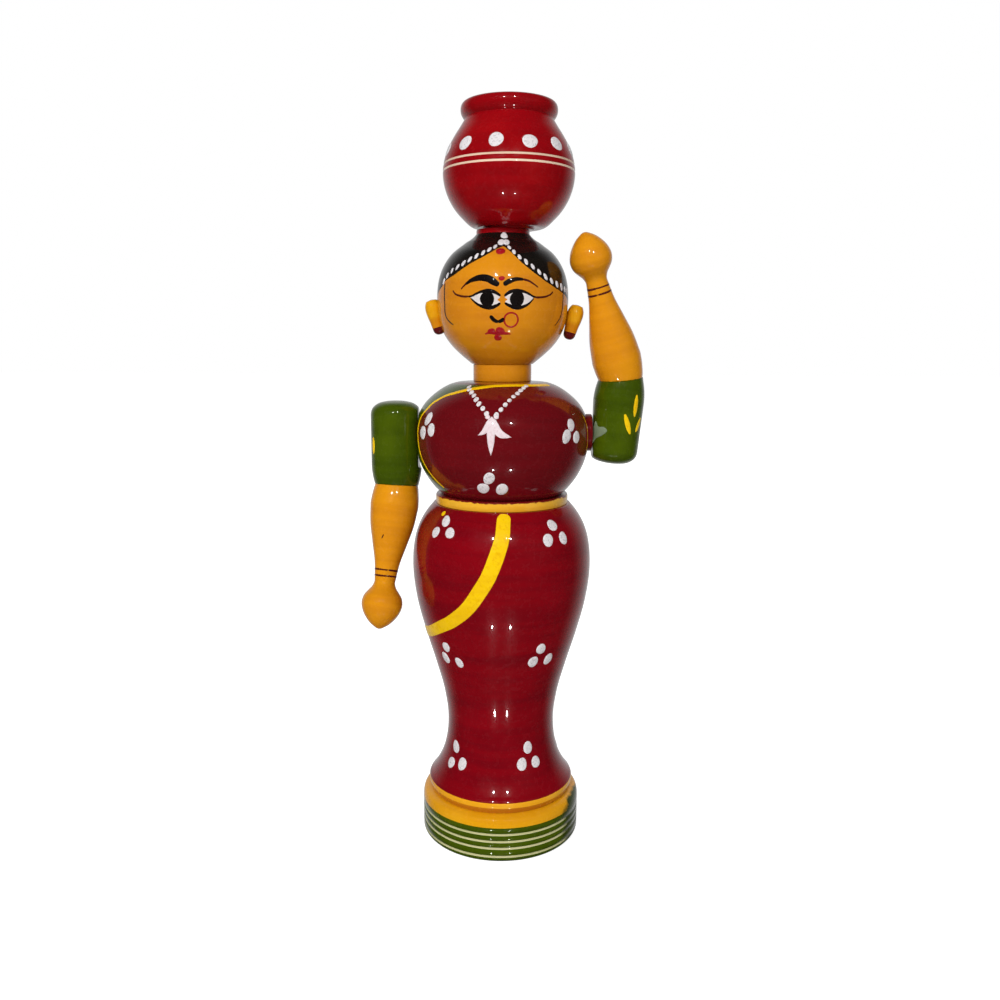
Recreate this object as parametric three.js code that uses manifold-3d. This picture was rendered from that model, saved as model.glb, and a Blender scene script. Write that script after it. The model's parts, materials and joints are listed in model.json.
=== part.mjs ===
// A turned and lacquered wooden doll of a woman who carries a water pot on her head.
// Millimetres, +Z up. The origin is the centre of the underside of the plinth, and the doll faces -Y.
// "Left" and "right" are the doll's own: her left arm is on +X and is raised, her right arm on -X hangs.
import * as THREE from "three";
import { mergeVertices } from "three/addons/utils/BufferGeometryUtils.js";
import Module from "manifold-3d";

const wasm = await Module();
wasm.setup();

// Plinth: a drum with a soft lower edge and a sloping shoulder.
const plinthRadius = 33;
const plinthHeight = 19.5;
const plinthEdgeRound = 2.6;
const plinthDrumHeight = 14.6;
const plinthShoulderInset = 1.7;

// Skirt: foot lip, narrow ankle, full hip, waist.
const skirtHeight = 122.2;
const skirtLipRadius = 30.3;
const skirtLipHeight = 4.4;
const skirtCoveDepth = 0.9;
const ankleRadius = 22.25;
const ankleHeight = 29.6;
const hipRadius = 36.5;
const hipHeight = 97.1;
const skirtTopRadius = 27.7;

// Collar: the yellow belt disc between skirt and torso.
const collarRadius = 26.9;
const collarHeight = 3.9;
const collarEdgeRound = 1.1;

// Torso: a squat bowl-and-dome turning, widest at the bust.
const torsoHeight = 45;
const torsoBottomRadius = 24.5;
const bustRadius = 35;
const bustHeight = 22.5;
const necklineRadius = 18.6;
const necklineDrop = 0.5;

// Neck and head.
const neckRadius = 11.6;
const neckHeight = 6.8;
const headHeight = 51.7;
const chinRadius = 12.1;
const cheekRadius = 25.8;
const cheekHeight = 23.7;
const crownRadius = 14.5;
const crownHeight = 46.7;
const bossRadius = 10.4;
const bossHeight = 50;

// Water pot, glued a little off the head's axis.
const potShift = 2.2;
const potHeight = 47.2;
const potFootRadius = 10;
const potFootHeight = 0.8;
const potUndersideRadius = 13.4;
const potBellyRadius = 25.6;
const potBellyHeight = 21;
const potThroatRadius = 17.1;
const potThroatHeight = 40.8;
const potLipRadius = 18.7;
const potLipHeight = 44.3;
const potLipRound = 1.4;
const potMouthRadius = 13.8;
const potMouthFlare = 1;
const potMouthFlareDepth = 3;
const potHollowDepth = 23;
const potHollowRound = 8;

// Ears: small turned drops set on the sides of the head.
const earLength = 14;
const earRadius = 3.3;
const earNeckRadius = 2.5;
const earTopRadius = 2.2;
const earTilt = 15.5;
const earSeats = { left: { reach: 2.1, height: 16.5 }, right: { reach: 0.7, height: 18.3 } };

// Arms: a sleeve with a planed seat, and a forearm with a knob hand, joined at a mitred elbow.
const shoulderHeight = 24.5;
const sleeveRadius = 10.2;
const sleeveCapLength = 12.5;
const sleeveCapRound = 6;
const elbowDistance = 21.8;
const elbowRadius = 8.8;
const elbowTaper = 9.5;
const seatOffset = 9.1;
const seatLength = 14;
const seatSlope = 3.8;
const forearmLength = 58.9;
const forearmRadius = 9.75;
const forearmBulge = 9;
const wristRadius = 4.2;
const wristDistance = 39.5;
const handRadius = 8.25;
const handDistance = 48.5;

// The two arms differ only in their shoulder boss and in how their elbow was sawn (degrees).
const arms = {
  left: { reach: 1.15, down: false, lean: 6, forearmForward: 8.3 },
  right: { reach: -1.55, down: true, lean: 0, forearmForward: 15 },
};
// A boss ends no further than this inside the line of the hip, and the axis of a forearm keeps this
// far from what it passes: the hip where it hangs, the cheek where it is raised.
const hipOverlap = 3.05;
const hipClearance = 10;
const cheekClearance = 13.2;
const bossDiscRadius = 7.5;
const bossSink = 1.4;
const bossThickness = 2.55;
const seatPocketRadius = 12;

// Dowels and pins, and how far each goes into the pieces that it joins.
const baseDowelRadius = 6;
const baseDowelReach = 12;
const waistDowelRadius = 6;
const waistDowelReach = 16;
const neckDowelRadius = 4;
const neckDowelReach = 13;
const potDowelRadius = 3.5;
const potDowelReach = 12;
const elbowDowelRadius = 2.4;
const elbowDowelReach = 8;
const pegRadius = 2.5;
const pegReachTorso = 12;
const pegReachSleeve = 10.5;
const earPinRadius = 0.8;
const earPinReachHead = 4;
const earPinReachEar = 3.4;

// Clearances.
const glueGap = 0.3;
const holeGap = 0.15;
const holeEndGap = 0.5;
const runningGap = 0.1;
const seatGap = 0.3;
// How far a solid or a tool that is sawn or cut later runs on past the cut.
const overrun = 4;

// Facets: sides of a turning by its size, and points along one curve of an outline.
const bodySides = 40;
const armSides = 24;
const smallSides = 16;
const pinSides = 12;
const bodySteps = 5;
const armSteps = 4;
const smallSteps = 3;

// Heights at which the stacked turnings meet.
const skirtZ = plinthHeight;
const collarZ = skirtZ + skirtHeight;
const torsoZ = collarZ + collarHeight;
const neckZ = torsoZ + torsoHeight;
const headZ = neckZ + neckHeight;
const potZ = headZ + headHeight;
const shoulderZ = torsoZ + shoulderHeight;

const lacquer = {
  crimson: { color: 0x7a0614, roughness: 0.16 },
  maroon: { color: 0x5e0a10, roughness: 0.16 },
  red: { color: 0xa40d12, roughness: 0.16 },
  green: { color: 0x35500a, roughness: 0.18 },
  skin: { color: 0xd8860c, roughness: 0.18 },
  yellow: { color: 0xe6a50e, roughness: 0.18 },
  wood: { color: 0xc9a26a, roughness: 0.7 },
};

const radians = THREE.MathUtils.degToRad;
const doll = new THREE.Group();

/** A named mesh with its own lacquer, added to a group. */
function piece(name, geometry, finish, group) {
  const material = new THREE.MeshStandardMaterial({ ...lacquer[finish], metalness: 0 });
  const mesh = new THREE.Mesh(geometry, material);
  mesh.name = name;
  group.add(mesh);
  return mesh;
}

/** Turns an outline of (radius, height) points about Z. */
function turned(outline, sides, steps) {
  return new THREE.LatheGeometry(outline.getPoints(steps), sides).rotateX(Math.PI / 2);
}

/** Draws a blind hole at the foot of an outline that starts on the axis. */
function footHole(outline, radius, depth) {
  outline.moveTo(0, depth);
  outline.lineTo(radius, depth);
  outline.lineTo(radius, 0);
}

/** Draws a blind hole at the top of an outline and ends it on the axis. */
function topHole(outline, radius, top, depth) {
  outline.lineTo(radius, top);
  outline.lineTo(radius, top - depth);
  outline.lineTo(0, top - depth);
}

/** A closed mesh as a solid whose shared vertices are merged. */
function solidOf(geometry) {
  const bare = geometry.clone();
  bare.deleteAttribute("normal");
  bare.deleteAttribute("uv");
  const merged = mergeVertices(bare, 1e-4);
  return new wasm.Manifold(
    new wasm.Mesh({
      numProp: 3,
      vertProperties: new Float32Array(merged.attributes.position.array),
      triVerts: new Uint32Array(merged.index.array),
    }),
  );
}

/** The first geometry with all the others cut out of it. */
function cut(geometry, ...tools) {
  let solid = solidOf(geometry);
  for (const tool of tools) solid = solid.subtract(solidOf(tool));
  const { vertProperties, triVerts } = solid.getMesh();
  const result = new THREE.BufferGeometry();
  result.setAttribute("position", new THREE.BufferAttribute(vertProperties, 3));
  result.setIndex(new THREE.BufferAttribute(triVerts, 1));
  return result.toNonIndexed();
}

/** A plain round rod along Z from one height to another. */
function rod(radius, from, to, sides = smallSides) {
  return new THREE.CylinderGeometry(radius, radius, to - from, sides)
    .rotateX(Math.PI / 2)
    .translate(0, 0, (from + to) / 2);
}

/** A plain round rod along X from one place to another. */
function crossRod(radius, from, to, sides = smallSides) {
  return rod(radius, from, to, sides).rotateY(Math.PI / 2);
}

/** A dowel between two heights of the doll, with both ends short of its holes by holeEndGap. */
function dowel(name, radius, from, to) {
  piece(name, rod(radius, from + holeEndGap, to - holeEndGap), "wood", doll);
}

function plinth() {
  const outline = new THREE.Path();
  const shoulderRadius = plinthRadius - plinthShoulderInset;
  const slope = plinthHeight - plinthDrumHeight;
  outline.moveTo(0, 0);
  outline.lineTo(plinthRadius - plinthEdgeRound, 0);
  outline.quadraticCurveTo(plinthRadius, 0, plinthRadius, plinthEdgeRound);
  outline.lineTo(plinthRadius, plinthDrumHeight);
  outline.quadraticCurveTo(
    plinthRadius,
    plinthHeight - 0.2 * slope,
    shoulderRadius,
    plinthHeight - 0.12 * slope,
  );
  outline.lineTo(skirtLipRadius - skirtCoveDepth, plinthHeight);
  topHole(outline, baseDowelRadius + holeGap, plinthHeight, baseDowelReach);
  piece("base_plinth", turned(outline, bodySides, smallSteps), "green", doll);
}

function skirt() {
  const outline = new THREE.Path();
  const rise = hipHeight - ankleHeight;
  const coveRadius = skirtLipRadius - skirtCoveDepth;
  const flareRadius = skirtLipRadius - 0.24 * (skirtLipRadius - ankleRadius);
  const flareRise = ankleHeight - skirtLipHeight;
  const waistRadius = skirtTopRadius + 0.52 * (hipRadius - skirtTopRadius);
  const waistRise = skirtHeight - hipHeight;
  footHole(outline, baseDowelRadius + holeGap, baseDowelReach);
  outline.lineTo(coveRadius, 0);
  outline.bezierCurveTo(
    coveRadius,
    0.27 * skirtLipHeight,
    skirtLipRadius,
    0.41 * skirtLipHeight,
    skirtLipRadius,
    0.64 * skirtLipHeight,
  );
  outline.lineTo(skirtLipRadius, skirtLipHeight);
  outline.bezierCurveTo(
    flareRadius,
    skirtLipHeight + 0.12 * flareRise,
    ankleRadius,
    skirtLipHeight + 0.36 * flareRise,
    ankleRadius,
    ankleHeight,
  );
  outline.bezierCurveTo(
    ankleRadius,
    ankleHeight + 0.29 * rise,
    hipRadius,
    hipHeight - 0.34 * rise,
    hipRadius,
    hipHeight,
  );
  outline.bezierCurveTo(
    hipRadius,
    hipHeight + 0.56 * waistRise,
    waistRadius,
    skirtHeight - 0.2 * waistRise,
    skirtTopRadius,
    skirtHeight,
  );
  topHole(outline, waistDowelRadius + holeGap, skirtHeight, waistDowelReach);
  piece("skirt", turned(outline, bodySides, bodySteps), "crimson", doll).position.z = skirtZ;
}

function collar() {
  const outline = new THREE.Path();
  const hole = waistDowelRadius + holeGap;
  const flat = collarRadius - collarEdgeRound;
  outline.moveTo(hole, 0);
  outline.lineTo(collarRadius, 0);
  outline.lineTo(collarRadius, collarHeight - collarEdgeRound);
  outline.quadraticCurveTo(collarRadius, collarHeight, flat, collarHeight);
  outline.lineTo(hole, collarHeight);
  outline.lineTo(hole, 0);
  piece("waist_collar", turned(outline, bodySides, smallSteps), "yellow", doll).position.z = collarZ;
}

function torso() {
  const outline = new THREE.Path();
  const shoulderLine = torsoHeight - necklineDrop;
  const rise = torsoHeight - bustHeight;
  footHole(outline, waistDowelRadius + holeGap, waistDowelReach);
  outline.lineTo(torsoBottomRadius, 0);
  outline.bezierCurveTo(
    torsoBottomRadius + 0.1 * (bustRadius - torsoBottomRadius),
    0.036 * bustHeight,
    bustRadius,
    0.41 * bustHeight,
    bustRadius,
    bustHeight,
  );
  outline.bezierCurveTo(
    bustRadius,
    bustHeight + 0.16 * rise,
    1.026 * bustRadius,
    bustHeight + 0.69 * rise,
    necklineRadius,
    shoulderLine,
  );
  outline.lineTo(neckRadius, torsoHeight);
  topHole(outline, neckDowelRadius + holeGap, torsoHeight, neckDowelReach);
  const tools = Object.keys(arms).flatMap((side) => {
    const outside = bossEnd(side) + overrun;
    const recess = crossRod(bossDiscRadius + glueGap, bossStart(side) - glueGap, outside, armSides);
    const pocket = crossRod(seatPocketRadius, bossEnd(side), outside, armSides);
    const pegHole = crossRod(pegRadius + holeGap, bustRadius - pegReachTorso, outside);
    return [recess, pocket, pegHole].map((tool) => tool.rotateZ(sideTurn(side)).translate(0, 0, shoulderHeight));
  });
  const body = turned(outline, bodySides, bodySteps);
  piece("torso", cut(body, ...tools), "maroon", doll).position.z = torsoZ;
}

function neck() {
  const outline = new THREE.Path();
  const hole = neckDowelRadius + holeGap;
  outline.moveTo(hole, 0);
  outline.lineTo(neckRadius, 0);
  outline.lineTo(neckRadius, neckHeight);
  outline.lineTo(hole, neckHeight);
  outline.lineTo(hole, 0);
  piece("neck", turned(outline, armSides, 1), "skin", doll).position.z = neckZ;
}

/** Draws the outside of the head from chin to crown, swollen by a margin. */
function headSide(outline, margin) {
  const cheek = cheekRadius + margin;
  const rise = crownHeight - cheekHeight;
  outline.lineTo(chinRadius + margin, 0);
  outline.bezierCurveTo(0.75 * cheek, 0.25 * cheekHeight, cheek, 0.44 * cheekHeight, cheek, cheekHeight);
  outline.bezierCurveTo(
    cheek,
    cheekHeight + 0.16 * rise,
    1.04 * cheek,
    cheekHeight + 0.69 * rise,
    crownRadius + margin,
    crownHeight,
  );
  outline.quadraticCurveTo(
    bossRadius + 0.29 * (crownRadius - bossRadius),
    crownHeight + 0.48 * (bossHeight - crownHeight),
    bossRadius + margin,
    bossHeight,
  );
  outline.lineTo(bossRadius + margin, headHeight);
}

function head() {
  const outline = new THREE.Path();
  footHole(outline, neckDowelRadius + holeGap, neckDowelReach);
  headSide(outline, 0);
  topHole(outline, potDowelRadius + holeGap, headHeight, potDowelReach);
  const holeStart = cheekRadius - earPinReachHead - holeEndGap;
  const pinHole = crossRod(earPinRadius + holeGap, holeStart, 2 * cheekRadius, pinSides);
  const tools = Object.keys(earSeats).map((side) => {
    return pinHole.clone().rotateZ(sideTurn(side)).translate(0, 0, pinHeight(side));
  });
  piece("head", cut(turned(outline, bodySides, bodySteps), ...tools), "skin", doll).position.z = headZ;
}

/** A half turn for what sits on the doll's right, because it is drawn for her left. */
function sideTurn(side) {
  return side === "left" ? 0 : Math.PI;
}

/** The centre of an ear, from the head's own foot, drawn for the left side. */
function earPlace(side) {
  const seat = earSeats[side];
  return new THREE.Vector3(cheekRadius + seat.reach, 0, seat.height);
}

/** The height of an ear's pin above the head's own foot, at the widest part of the ear. */
function pinHeight(side) {
  return earPlace(side).z + 0.2 * earLength * Math.cos(radians(earTilt));
}

function ear(side) {
  const half = earLength / 2;
  const outline = new THREE.Path();
  outline.moveTo(0, -half);
  outline.bezierCurveTo(0.7 * earNeckRadius, -half, earNeckRadius, -0.85 * half, earNeckRadius, -0.6 * half);
  outline.bezierCurveTo(1.04 * earNeckRadius, -0.2 * half, earRadius, 0.05 * half, earRadius, 0.45 * half);
  outline.quadraticCurveTo(earRadius, 0.7 * half, earTopRadius, 0.94 * half);
  outline.lineTo(0, half);
  const centre = earPlace(side);
  const swollenHead = new THREE.Path();
  swollenHead.moveTo(0, 0);
  headSide(swollenHead, glueGap);
  swollenHead.lineTo(0, headHeight);
  const tilt = radians(earTilt);
  const pinZ = pinHeight(side);
  const pinEnd = cheekRadius + earPinReachEar;
  const pinHole = crossRod(earPinRadius + holeGap, 0, pinEnd + holeEndGap, pinSides);
  const shape = turned(outline, smallSides, smallSteps).rotateY(tilt).translate(centre.x, 0, centre.z);
  const hollowed = turned(swollenHead, bodySides, bodySteps);
  const seated = cut(shape, hollowed, pinHole.translate(0, 0, pinZ));
  const group = new THREE.Group();
  group.position.z = headZ;
  group.rotation.z = sideTurn(side);
  doll.add(group);
  piece(`${side}_ear`, seated, "yellow", group);
  const pin = crossRod(earPinRadius, cheekRadius - earPinReachHead, pinEnd, pinSides);
  piece(`${side}_ear_pin`, pin, "wood", group).position.z = pinZ;
}

function pot() {
  const outline = new THREE.Path();
  const hollowFoot = potHeight - potHollowDepth;
  const rise = potThroatHeight - potBellyHeight;
  const lipRise = potLipHeight - potThroatHeight;
  outline.moveTo(0, 0);
  outline.lineTo(potFootRadius, 0);
  outline.lineTo(potFootRadius, potFootHeight);
  outline.lineTo(potUndersideRadius, potFootHeight);
  outline.bezierCurveTo(
    potUndersideRadius + 0.72 * (potBellyRadius - potUndersideRadius),
    0.28 * potBellyHeight,
    potBellyRadius,
    0.7 * potBellyHeight,
    potBellyRadius,
    potBellyHeight,
  );
  outline.bezierCurveTo(
    potBellyRadius,
    potBellyHeight + 0.45 * rise,
    potThroatRadius + 0.28 * (potBellyRadius - potThroatRadius),
    potThroatHeight - 0.22 * rise,
    potThroatRadius,
    potThroatHeight,
  );
  outline.bezierCurveTo(
    potThroatRadius + 0.35 * (potLipRadius - potThroatRadius),
    potThroatHeight + 0.2 * lipRise,
    potLipRadius,
    potLipHeight - 0.5 * lipRise,
    potLipRadius,
    potLipHeight,
  );
  outline.quadraticCurveTo(potLipRadius, potHeight, potLipRadius - 2 * potLipRound, potHeight);
  outline.lineTo(potMouthRadius + potMouthFlare, potHeight);
  outline.lineTo(potMouthRadius, potHeight - potMouthFlareDepth);
  outline.lineTo(potMouthRadius, hollowFoot + potHollowRound);
  outline.quadraticCurveTo(potMouthRadius, hollowFoot, 0, hollowFoot);
  const hole = rod(potDowelRadius + holeGap, -overrun, potDowelReach).translate(-potShift, 0, 0);
  const shape = cut(turned(outline, bodySides, bodySteps), hole);
  piece("pot", shape, "red", doll).position.set(potShift, 0, potZ);
}

/** The block that planes the seat on the torso side of a sleeve, drawn square to the shoulder peg. */
function seatBlock() {
  const beyond = 2 * sleeveRadius;
  const face = new THREE.Shape();
  face.moveTo(-seatOffset, -sleeveCapLength - overrun);
  face.lineTo(-seatOffset, seatLength);
  face.lineTo(-seatOffset - seatSlope, seatLength + seatSlope);
  face.lineTo(-beyond, seatLength + seatSlope);
  face.lineTo(-beyond, -sleeveCapLength - overrun);
  const block = new THREE.ExtrudeGeometry(face, { depth: 2 * beyond, bevelEnabled: false });
  return block.translate(0, 0, -beyond).rotateX(Math.PI / 2);
}

/** The outline of a sleeve, from its rounded cap to past its elbow. */
function sleeveOutline() {
  const outline = new THREE.Path();
  const cap = -sleeveCapLength;
  const taperStart = elbowDistance - elbowTaper;
  outline.moveTo(0, cap);
  outline.bezierCurveTo(
    0.6 * sleeveRadius,
    cap,
    sleeveRadius,
    cap + 0.2 * sleeveCapRound,
    sleeveRadius,
    cap + sleeveCapRound,
  );
  outline.lineTo(sleeveRadius, taperStart);
  outline.bezierCurveTo(
    sleeveRadius,
    taperStart + 0.5 * elbowTaper,
    1.06 * elbowRadius,
    elbowDistance - 0.2 * elbowTaper,
    elbowRadius,
    elbowDistance,
  );
  outline.lineTo(0.89 * elbowRadius, elbowDistance + overrun);
  outline.lineTo(0, elbowDistance + overrun);
  return outline;
}

/** The outline of a forearm, from before its elbow to the point of its hand. */
function forearmOutline() {
  const outline = new THREE.Path();
  const lower = wristDistance - forearmBulge;
  const palm = handDistance - wristDistance;
  const finger = forearmLength - handDistance;
  outline.moveTo(0, -overrun);
  outline.lineTo(0.84 * elbowRadius, -overrun);
  outline.lineTo(0.99 * elbowRadius, 0);
  outline.bezierCurveTo(
    1.06 * elbowRadius,
    0.33 * forearmBulge,
    forearmRadius,
    0.6 * forearmBulge,
    forearmRadius,
    forearmBulge,
  );
  outline.bezierCurveTo(
    forearmRadius,
    forearmBulge + 0.3 * lower,
    wristRadius,
    forearmBulge + 0.72 * lower,
    wristRadius,
    wristDistance,
  );
  outline.bezierCurveTo(
    wristRadius,
    wristDistance + 0.42 * palm,
    handRadius,
    handDistance - 0.5 * palm,
    handRadius,
    handDistance,
  );
  outline.bezierCurveTo(
    handRadius,
    handDistance + 0.45 * finger,
    0.4 * handRadius,
    forearmLength - 0.05 * finger,
    0,
    forearmLength,
  );
  return outline;
}

/** A big block that fills one side of a plane through the origin square to a direction. */
function halfSpace(direction, start, upwards) {
  const size = 6 * sleeveRadius;
  const middle = upwards ? start + size / 2 : start - size / 2;
  const block = new THREE.BoxGeometry(size, size, size).translate(0, 0, middle);
  const up = new THREE.Vector3(0, 0, 1);
  return block.applyQuaternion(new THREE.Quaternion().setFromUnitVectors(up, direction));
}

/** How far from the doll's axis a boss ends: past the bust, and past the hip where that is wider. */
function bossEnd(side) {
  return Math.max(bustRadius + arms[side].reach, hipRadius - hipOverlap);
}

/** How far from the doll's axis a boss starts: let into the torso, and never too thin. */
function bossStart(side) {
  return Math.min(bustRadius - bossSink, bossEnd(side) - bossThickness);
}

/** How much a forearm leans out for each mm of its length, so that it clears what it passes. */
function forearmSlope(down, elbowX, elbowZ) {
  const passedX = down ? hipRadius + hipClearance : cheekRadius + cheekClearance;
  const passedZ = down ? skirtZ + hipHeight : headZ + cheekHeight;
  return (passedX - elbowX) / Math.abs(passedZ - elbowZ);
}

/** One arm: a sleeve on its shoulder peg, and a forearm on a dowel at the mitred elbow. */
function arm(side) {
  const { down, lean, forearmForward } = arms[side];
  const up = new THREE.Vector3(0, 0, 1);
  const leanAngle = radians(lean);
  const outward = side === "left" ? 1 : -1;

  // The shoulder frame: +X away from the torso, -Y to the front, +Z along the arm.
  const shoulder = new THREE.Group();
  const shoulderX = bossEnd(side) + seatGap + seatOffset;
  shoulder.position.set(outward * shoulderX, 0, shoulderZ);
  shoulder.rotation.y = down ? Math.PI : 0;
  doll.add(shoulder);
  const upperArm = new THREE.Group();
  upperArm.rotation.y = leanAngle;
  shoulder.add(upperArm);

  // The forearm's direction and the sawn face that halves the bend, both in the upper arm's frame.
  const elbowX = shoulderX + elbowDistance * Math.sin(leanAngle);
  const elbowZ = shoulderZ + (down ? -1 : 1) * elbowDistance * Math.cos(leanAngle);
  const slope = forearmSlope(down, elbowX, elbowZ);
  const forearmAim = new THREE.Vector3(slope, -Math.tan(radians(forearmForward)), 1);
  forearmAim.normalize().applyAxisAngle(new THREE.Vector3(0, 1, 0), -leanAngle);
  const bend = new THREE.Quaternion().setFromUnitVectors(up, forearmAim);
  const mitre = forearmAim.clone().add(up).normalize();
  const toForearm = bend.clone().invert();
  const mitreInForearm = mitre.clone().applyQuaternion(toForearm);
  const alongMitre = new THREE.Quaternion().setFromUnitVectors(up, mitre);
  const alongMitreInForearm = new THREE.Quaternion().setFromUnitVectors(up, mitreInForearm);

  const dowelHole = rod(elbowDowelRadius + holeGap, -elbowDowelReach, elbowDowelReach, armSides);
  const pegHoleEnd = pegReachSleeve - seatOffset + holeEndGap;
  const pegHole = crossRod(pegRadius + runningGap, -2 * sleeveRadius, pegHoleEnd);
  const sleeve = cut(
    turned(sleeveOutline(), armSides, armSteps),
    halfSpace(mitre, -glueGap / 2, true).translate(0, 0, elbowDistance),
    dowelHole.clone().applyQuaternion(alongMitre).translate(0, 0, elbowDistance),
    seatBlock().rotateY(-leanAngle),
    pegHole.rotateY(-leanAngle),
  );
  piece(`${side}_sleeve`, sleeve, "green", upperArm);

  const forearm = cut(
    turned(forearmOutline(), armSides, armSteps),
    halfSpace(mitreInForearm, glueGap / 2, false),
    dowelHole.clone().applyQuaternion(alongMitreInForearm),
  );
  const lower = piece(`${side}_forearm`, forearm, "skin", upperArm);
  lower.position.z = elbowDistance;
  lower.quaternion.copy(bend);

  const elbowDowel = rod(elbowDowelRadius, holeEndGap - elbowDowelReach, elbowDowelReach - holeEndGap);
  const pin = piece(`${side}_elbow_dowel`, elbowDowel, "wood", upperArm);
  pin.position.z = elbowDistance;
  pin.quaternion.copy(alongMitre);
}

/** The turned disc and the peg that carry one arm, glued into the torso's side. */
function shoulderMount(side) {
  const group = new THREE.Group();
  group.position.z = shoulderZ;
  group.rotation.z = sideTurn(side);
  doll.add(group);
  const disc = cut(
    crossRod(bossDiscRadius, bossStart(side), bossEnd(side), armSides),
    crossRod(pegRadius + holeGap, 0, 2 * bossEnd(side)),
  );
  piece(`${side}_shoulder_boss`, disc, "maroon", group);
  const pegStart = bustRadius - pegReachTorso + holeEndGap;
  const pegEnd = bossEnd(side) + seatGap + pegReachSleeve;
  piece(`${side}_shoulder_peg`, crossRod(pegRadius, pegStart, pegEnd), "wood", group);
}

plinth();
skirt();
collar();
torso();
neck();
head();
pot();
dowel("base_dowel", baseDowelRadius, skirtZ - baseDowelReach, skirtZ + baseDowelReach);
dowel("waist_dowel", waistDowelRadius, collarZ - waistDowelReach, torsoZ + waistDowelReach);
dowel("neck_dowel", neckDowelRadius, neckZ - neckDowelReach, headZ + neckDowelReach);
dowel("pot_dowel", potDowelRadius, potZ - potDowelReach, potZ + potDowelReach);
for (const side of Object.keys(arms)) {
  ear(side);
  shoulderMount(side);
  arm(side);
}

export default doll;
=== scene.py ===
"""Looks for a turned, lacquered doll of a woman who carries a water pot on her head.

Every turning is a fine lathe that follows the outline of its plain solid, and the enamel strokes,
dots and beads are thin raised paint laid on those lathes. Heights and widths are in mm, in each
turning's own frame. Azimuths are in degrees from the doll's front towards its left.
"""
import json
import logging
import math
import random
from collections import defaultdict
from collections.abc import Callable, Mapping, Sequence
from dataclasses import dataclass, field, replace
from enum import Enum

import bmesh
import bpy
import numpy as np
from mathutils import Matrix, Vector


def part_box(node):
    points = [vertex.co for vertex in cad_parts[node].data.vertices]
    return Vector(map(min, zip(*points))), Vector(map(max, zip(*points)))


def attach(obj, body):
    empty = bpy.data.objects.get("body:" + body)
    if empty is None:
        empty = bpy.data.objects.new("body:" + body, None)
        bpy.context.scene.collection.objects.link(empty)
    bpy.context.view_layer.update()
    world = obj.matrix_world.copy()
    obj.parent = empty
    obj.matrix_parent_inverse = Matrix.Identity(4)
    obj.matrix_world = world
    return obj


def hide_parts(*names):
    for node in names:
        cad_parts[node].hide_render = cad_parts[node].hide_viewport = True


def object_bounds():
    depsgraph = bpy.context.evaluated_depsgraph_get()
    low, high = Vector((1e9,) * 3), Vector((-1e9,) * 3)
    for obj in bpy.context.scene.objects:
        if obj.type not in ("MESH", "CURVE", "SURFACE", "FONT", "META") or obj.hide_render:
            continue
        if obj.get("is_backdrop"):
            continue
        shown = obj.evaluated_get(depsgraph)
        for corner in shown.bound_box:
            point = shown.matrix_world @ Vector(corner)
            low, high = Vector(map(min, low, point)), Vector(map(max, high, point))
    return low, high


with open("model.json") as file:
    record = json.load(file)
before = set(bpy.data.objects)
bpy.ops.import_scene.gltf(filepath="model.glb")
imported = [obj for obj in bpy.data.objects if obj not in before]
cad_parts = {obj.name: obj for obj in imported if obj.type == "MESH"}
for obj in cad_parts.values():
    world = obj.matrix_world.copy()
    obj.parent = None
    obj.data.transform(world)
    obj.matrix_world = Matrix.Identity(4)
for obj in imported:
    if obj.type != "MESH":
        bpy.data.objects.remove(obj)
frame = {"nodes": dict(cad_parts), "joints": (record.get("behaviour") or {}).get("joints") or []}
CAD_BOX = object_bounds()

LOG = logging.getLogger("doll")
MM = 0.001
MERGE = 2e-6
CORNER = math.radians(38)
ROUND_END = math.radians(35)
SAW_ZONE = 6.0
SAW_REACH = 4.5
SAW_GAP = 0.02
LEVEL = 0.02
NEAR = 0.01
CURVE_PARTS = 16
X_AXIS, Z_AXIS = Vector((1, 0, 0)), Vector((0, 0, 1))
FRONT = Vector((0, -1, 0))

Point = tuple[float, float]
Path = Sequence[Point]
Triple = tuple[float, float, float]
Colour = Triple
Stroke = tuple[Path, Sequence[float]]
Mesh = bmesh.types.BMesh
Row = Sequence[bmesh.types.BMVert]
Node = bpy.types.Node
Socket = bpy.types.NodeSocket
Inputs = Mapping[str | int, Socket | Triple | float]


class Body(Enum):
    """The bodies that move."""

    DOLL = "body"
    LEFT_ARM = "left_arm"
    RIGHT_ARM = "right_arm"


class Slot(Enum):
    """The finishes that the record names."""

    CRIMSON = "crimson_lacquer"
    MAROON = "maroon_lacquer"
    RED = "red_lacquer"
    GREEN = "green_lacquer"
    SKIN = "skin_lacquer"
    YELLOW = "yellow_lacquer"


class Sawn(Enum):
    """Which end of a turning was sawn off at a slant."""

    NONE = 0
    TOP = 1
    FOOT = -1


class Side(Enum):
    """The doll's own left and right."""

    LEFT = "left"
    RIGHT = "right"


# ---------------------------------------------------------------- finishes


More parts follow.
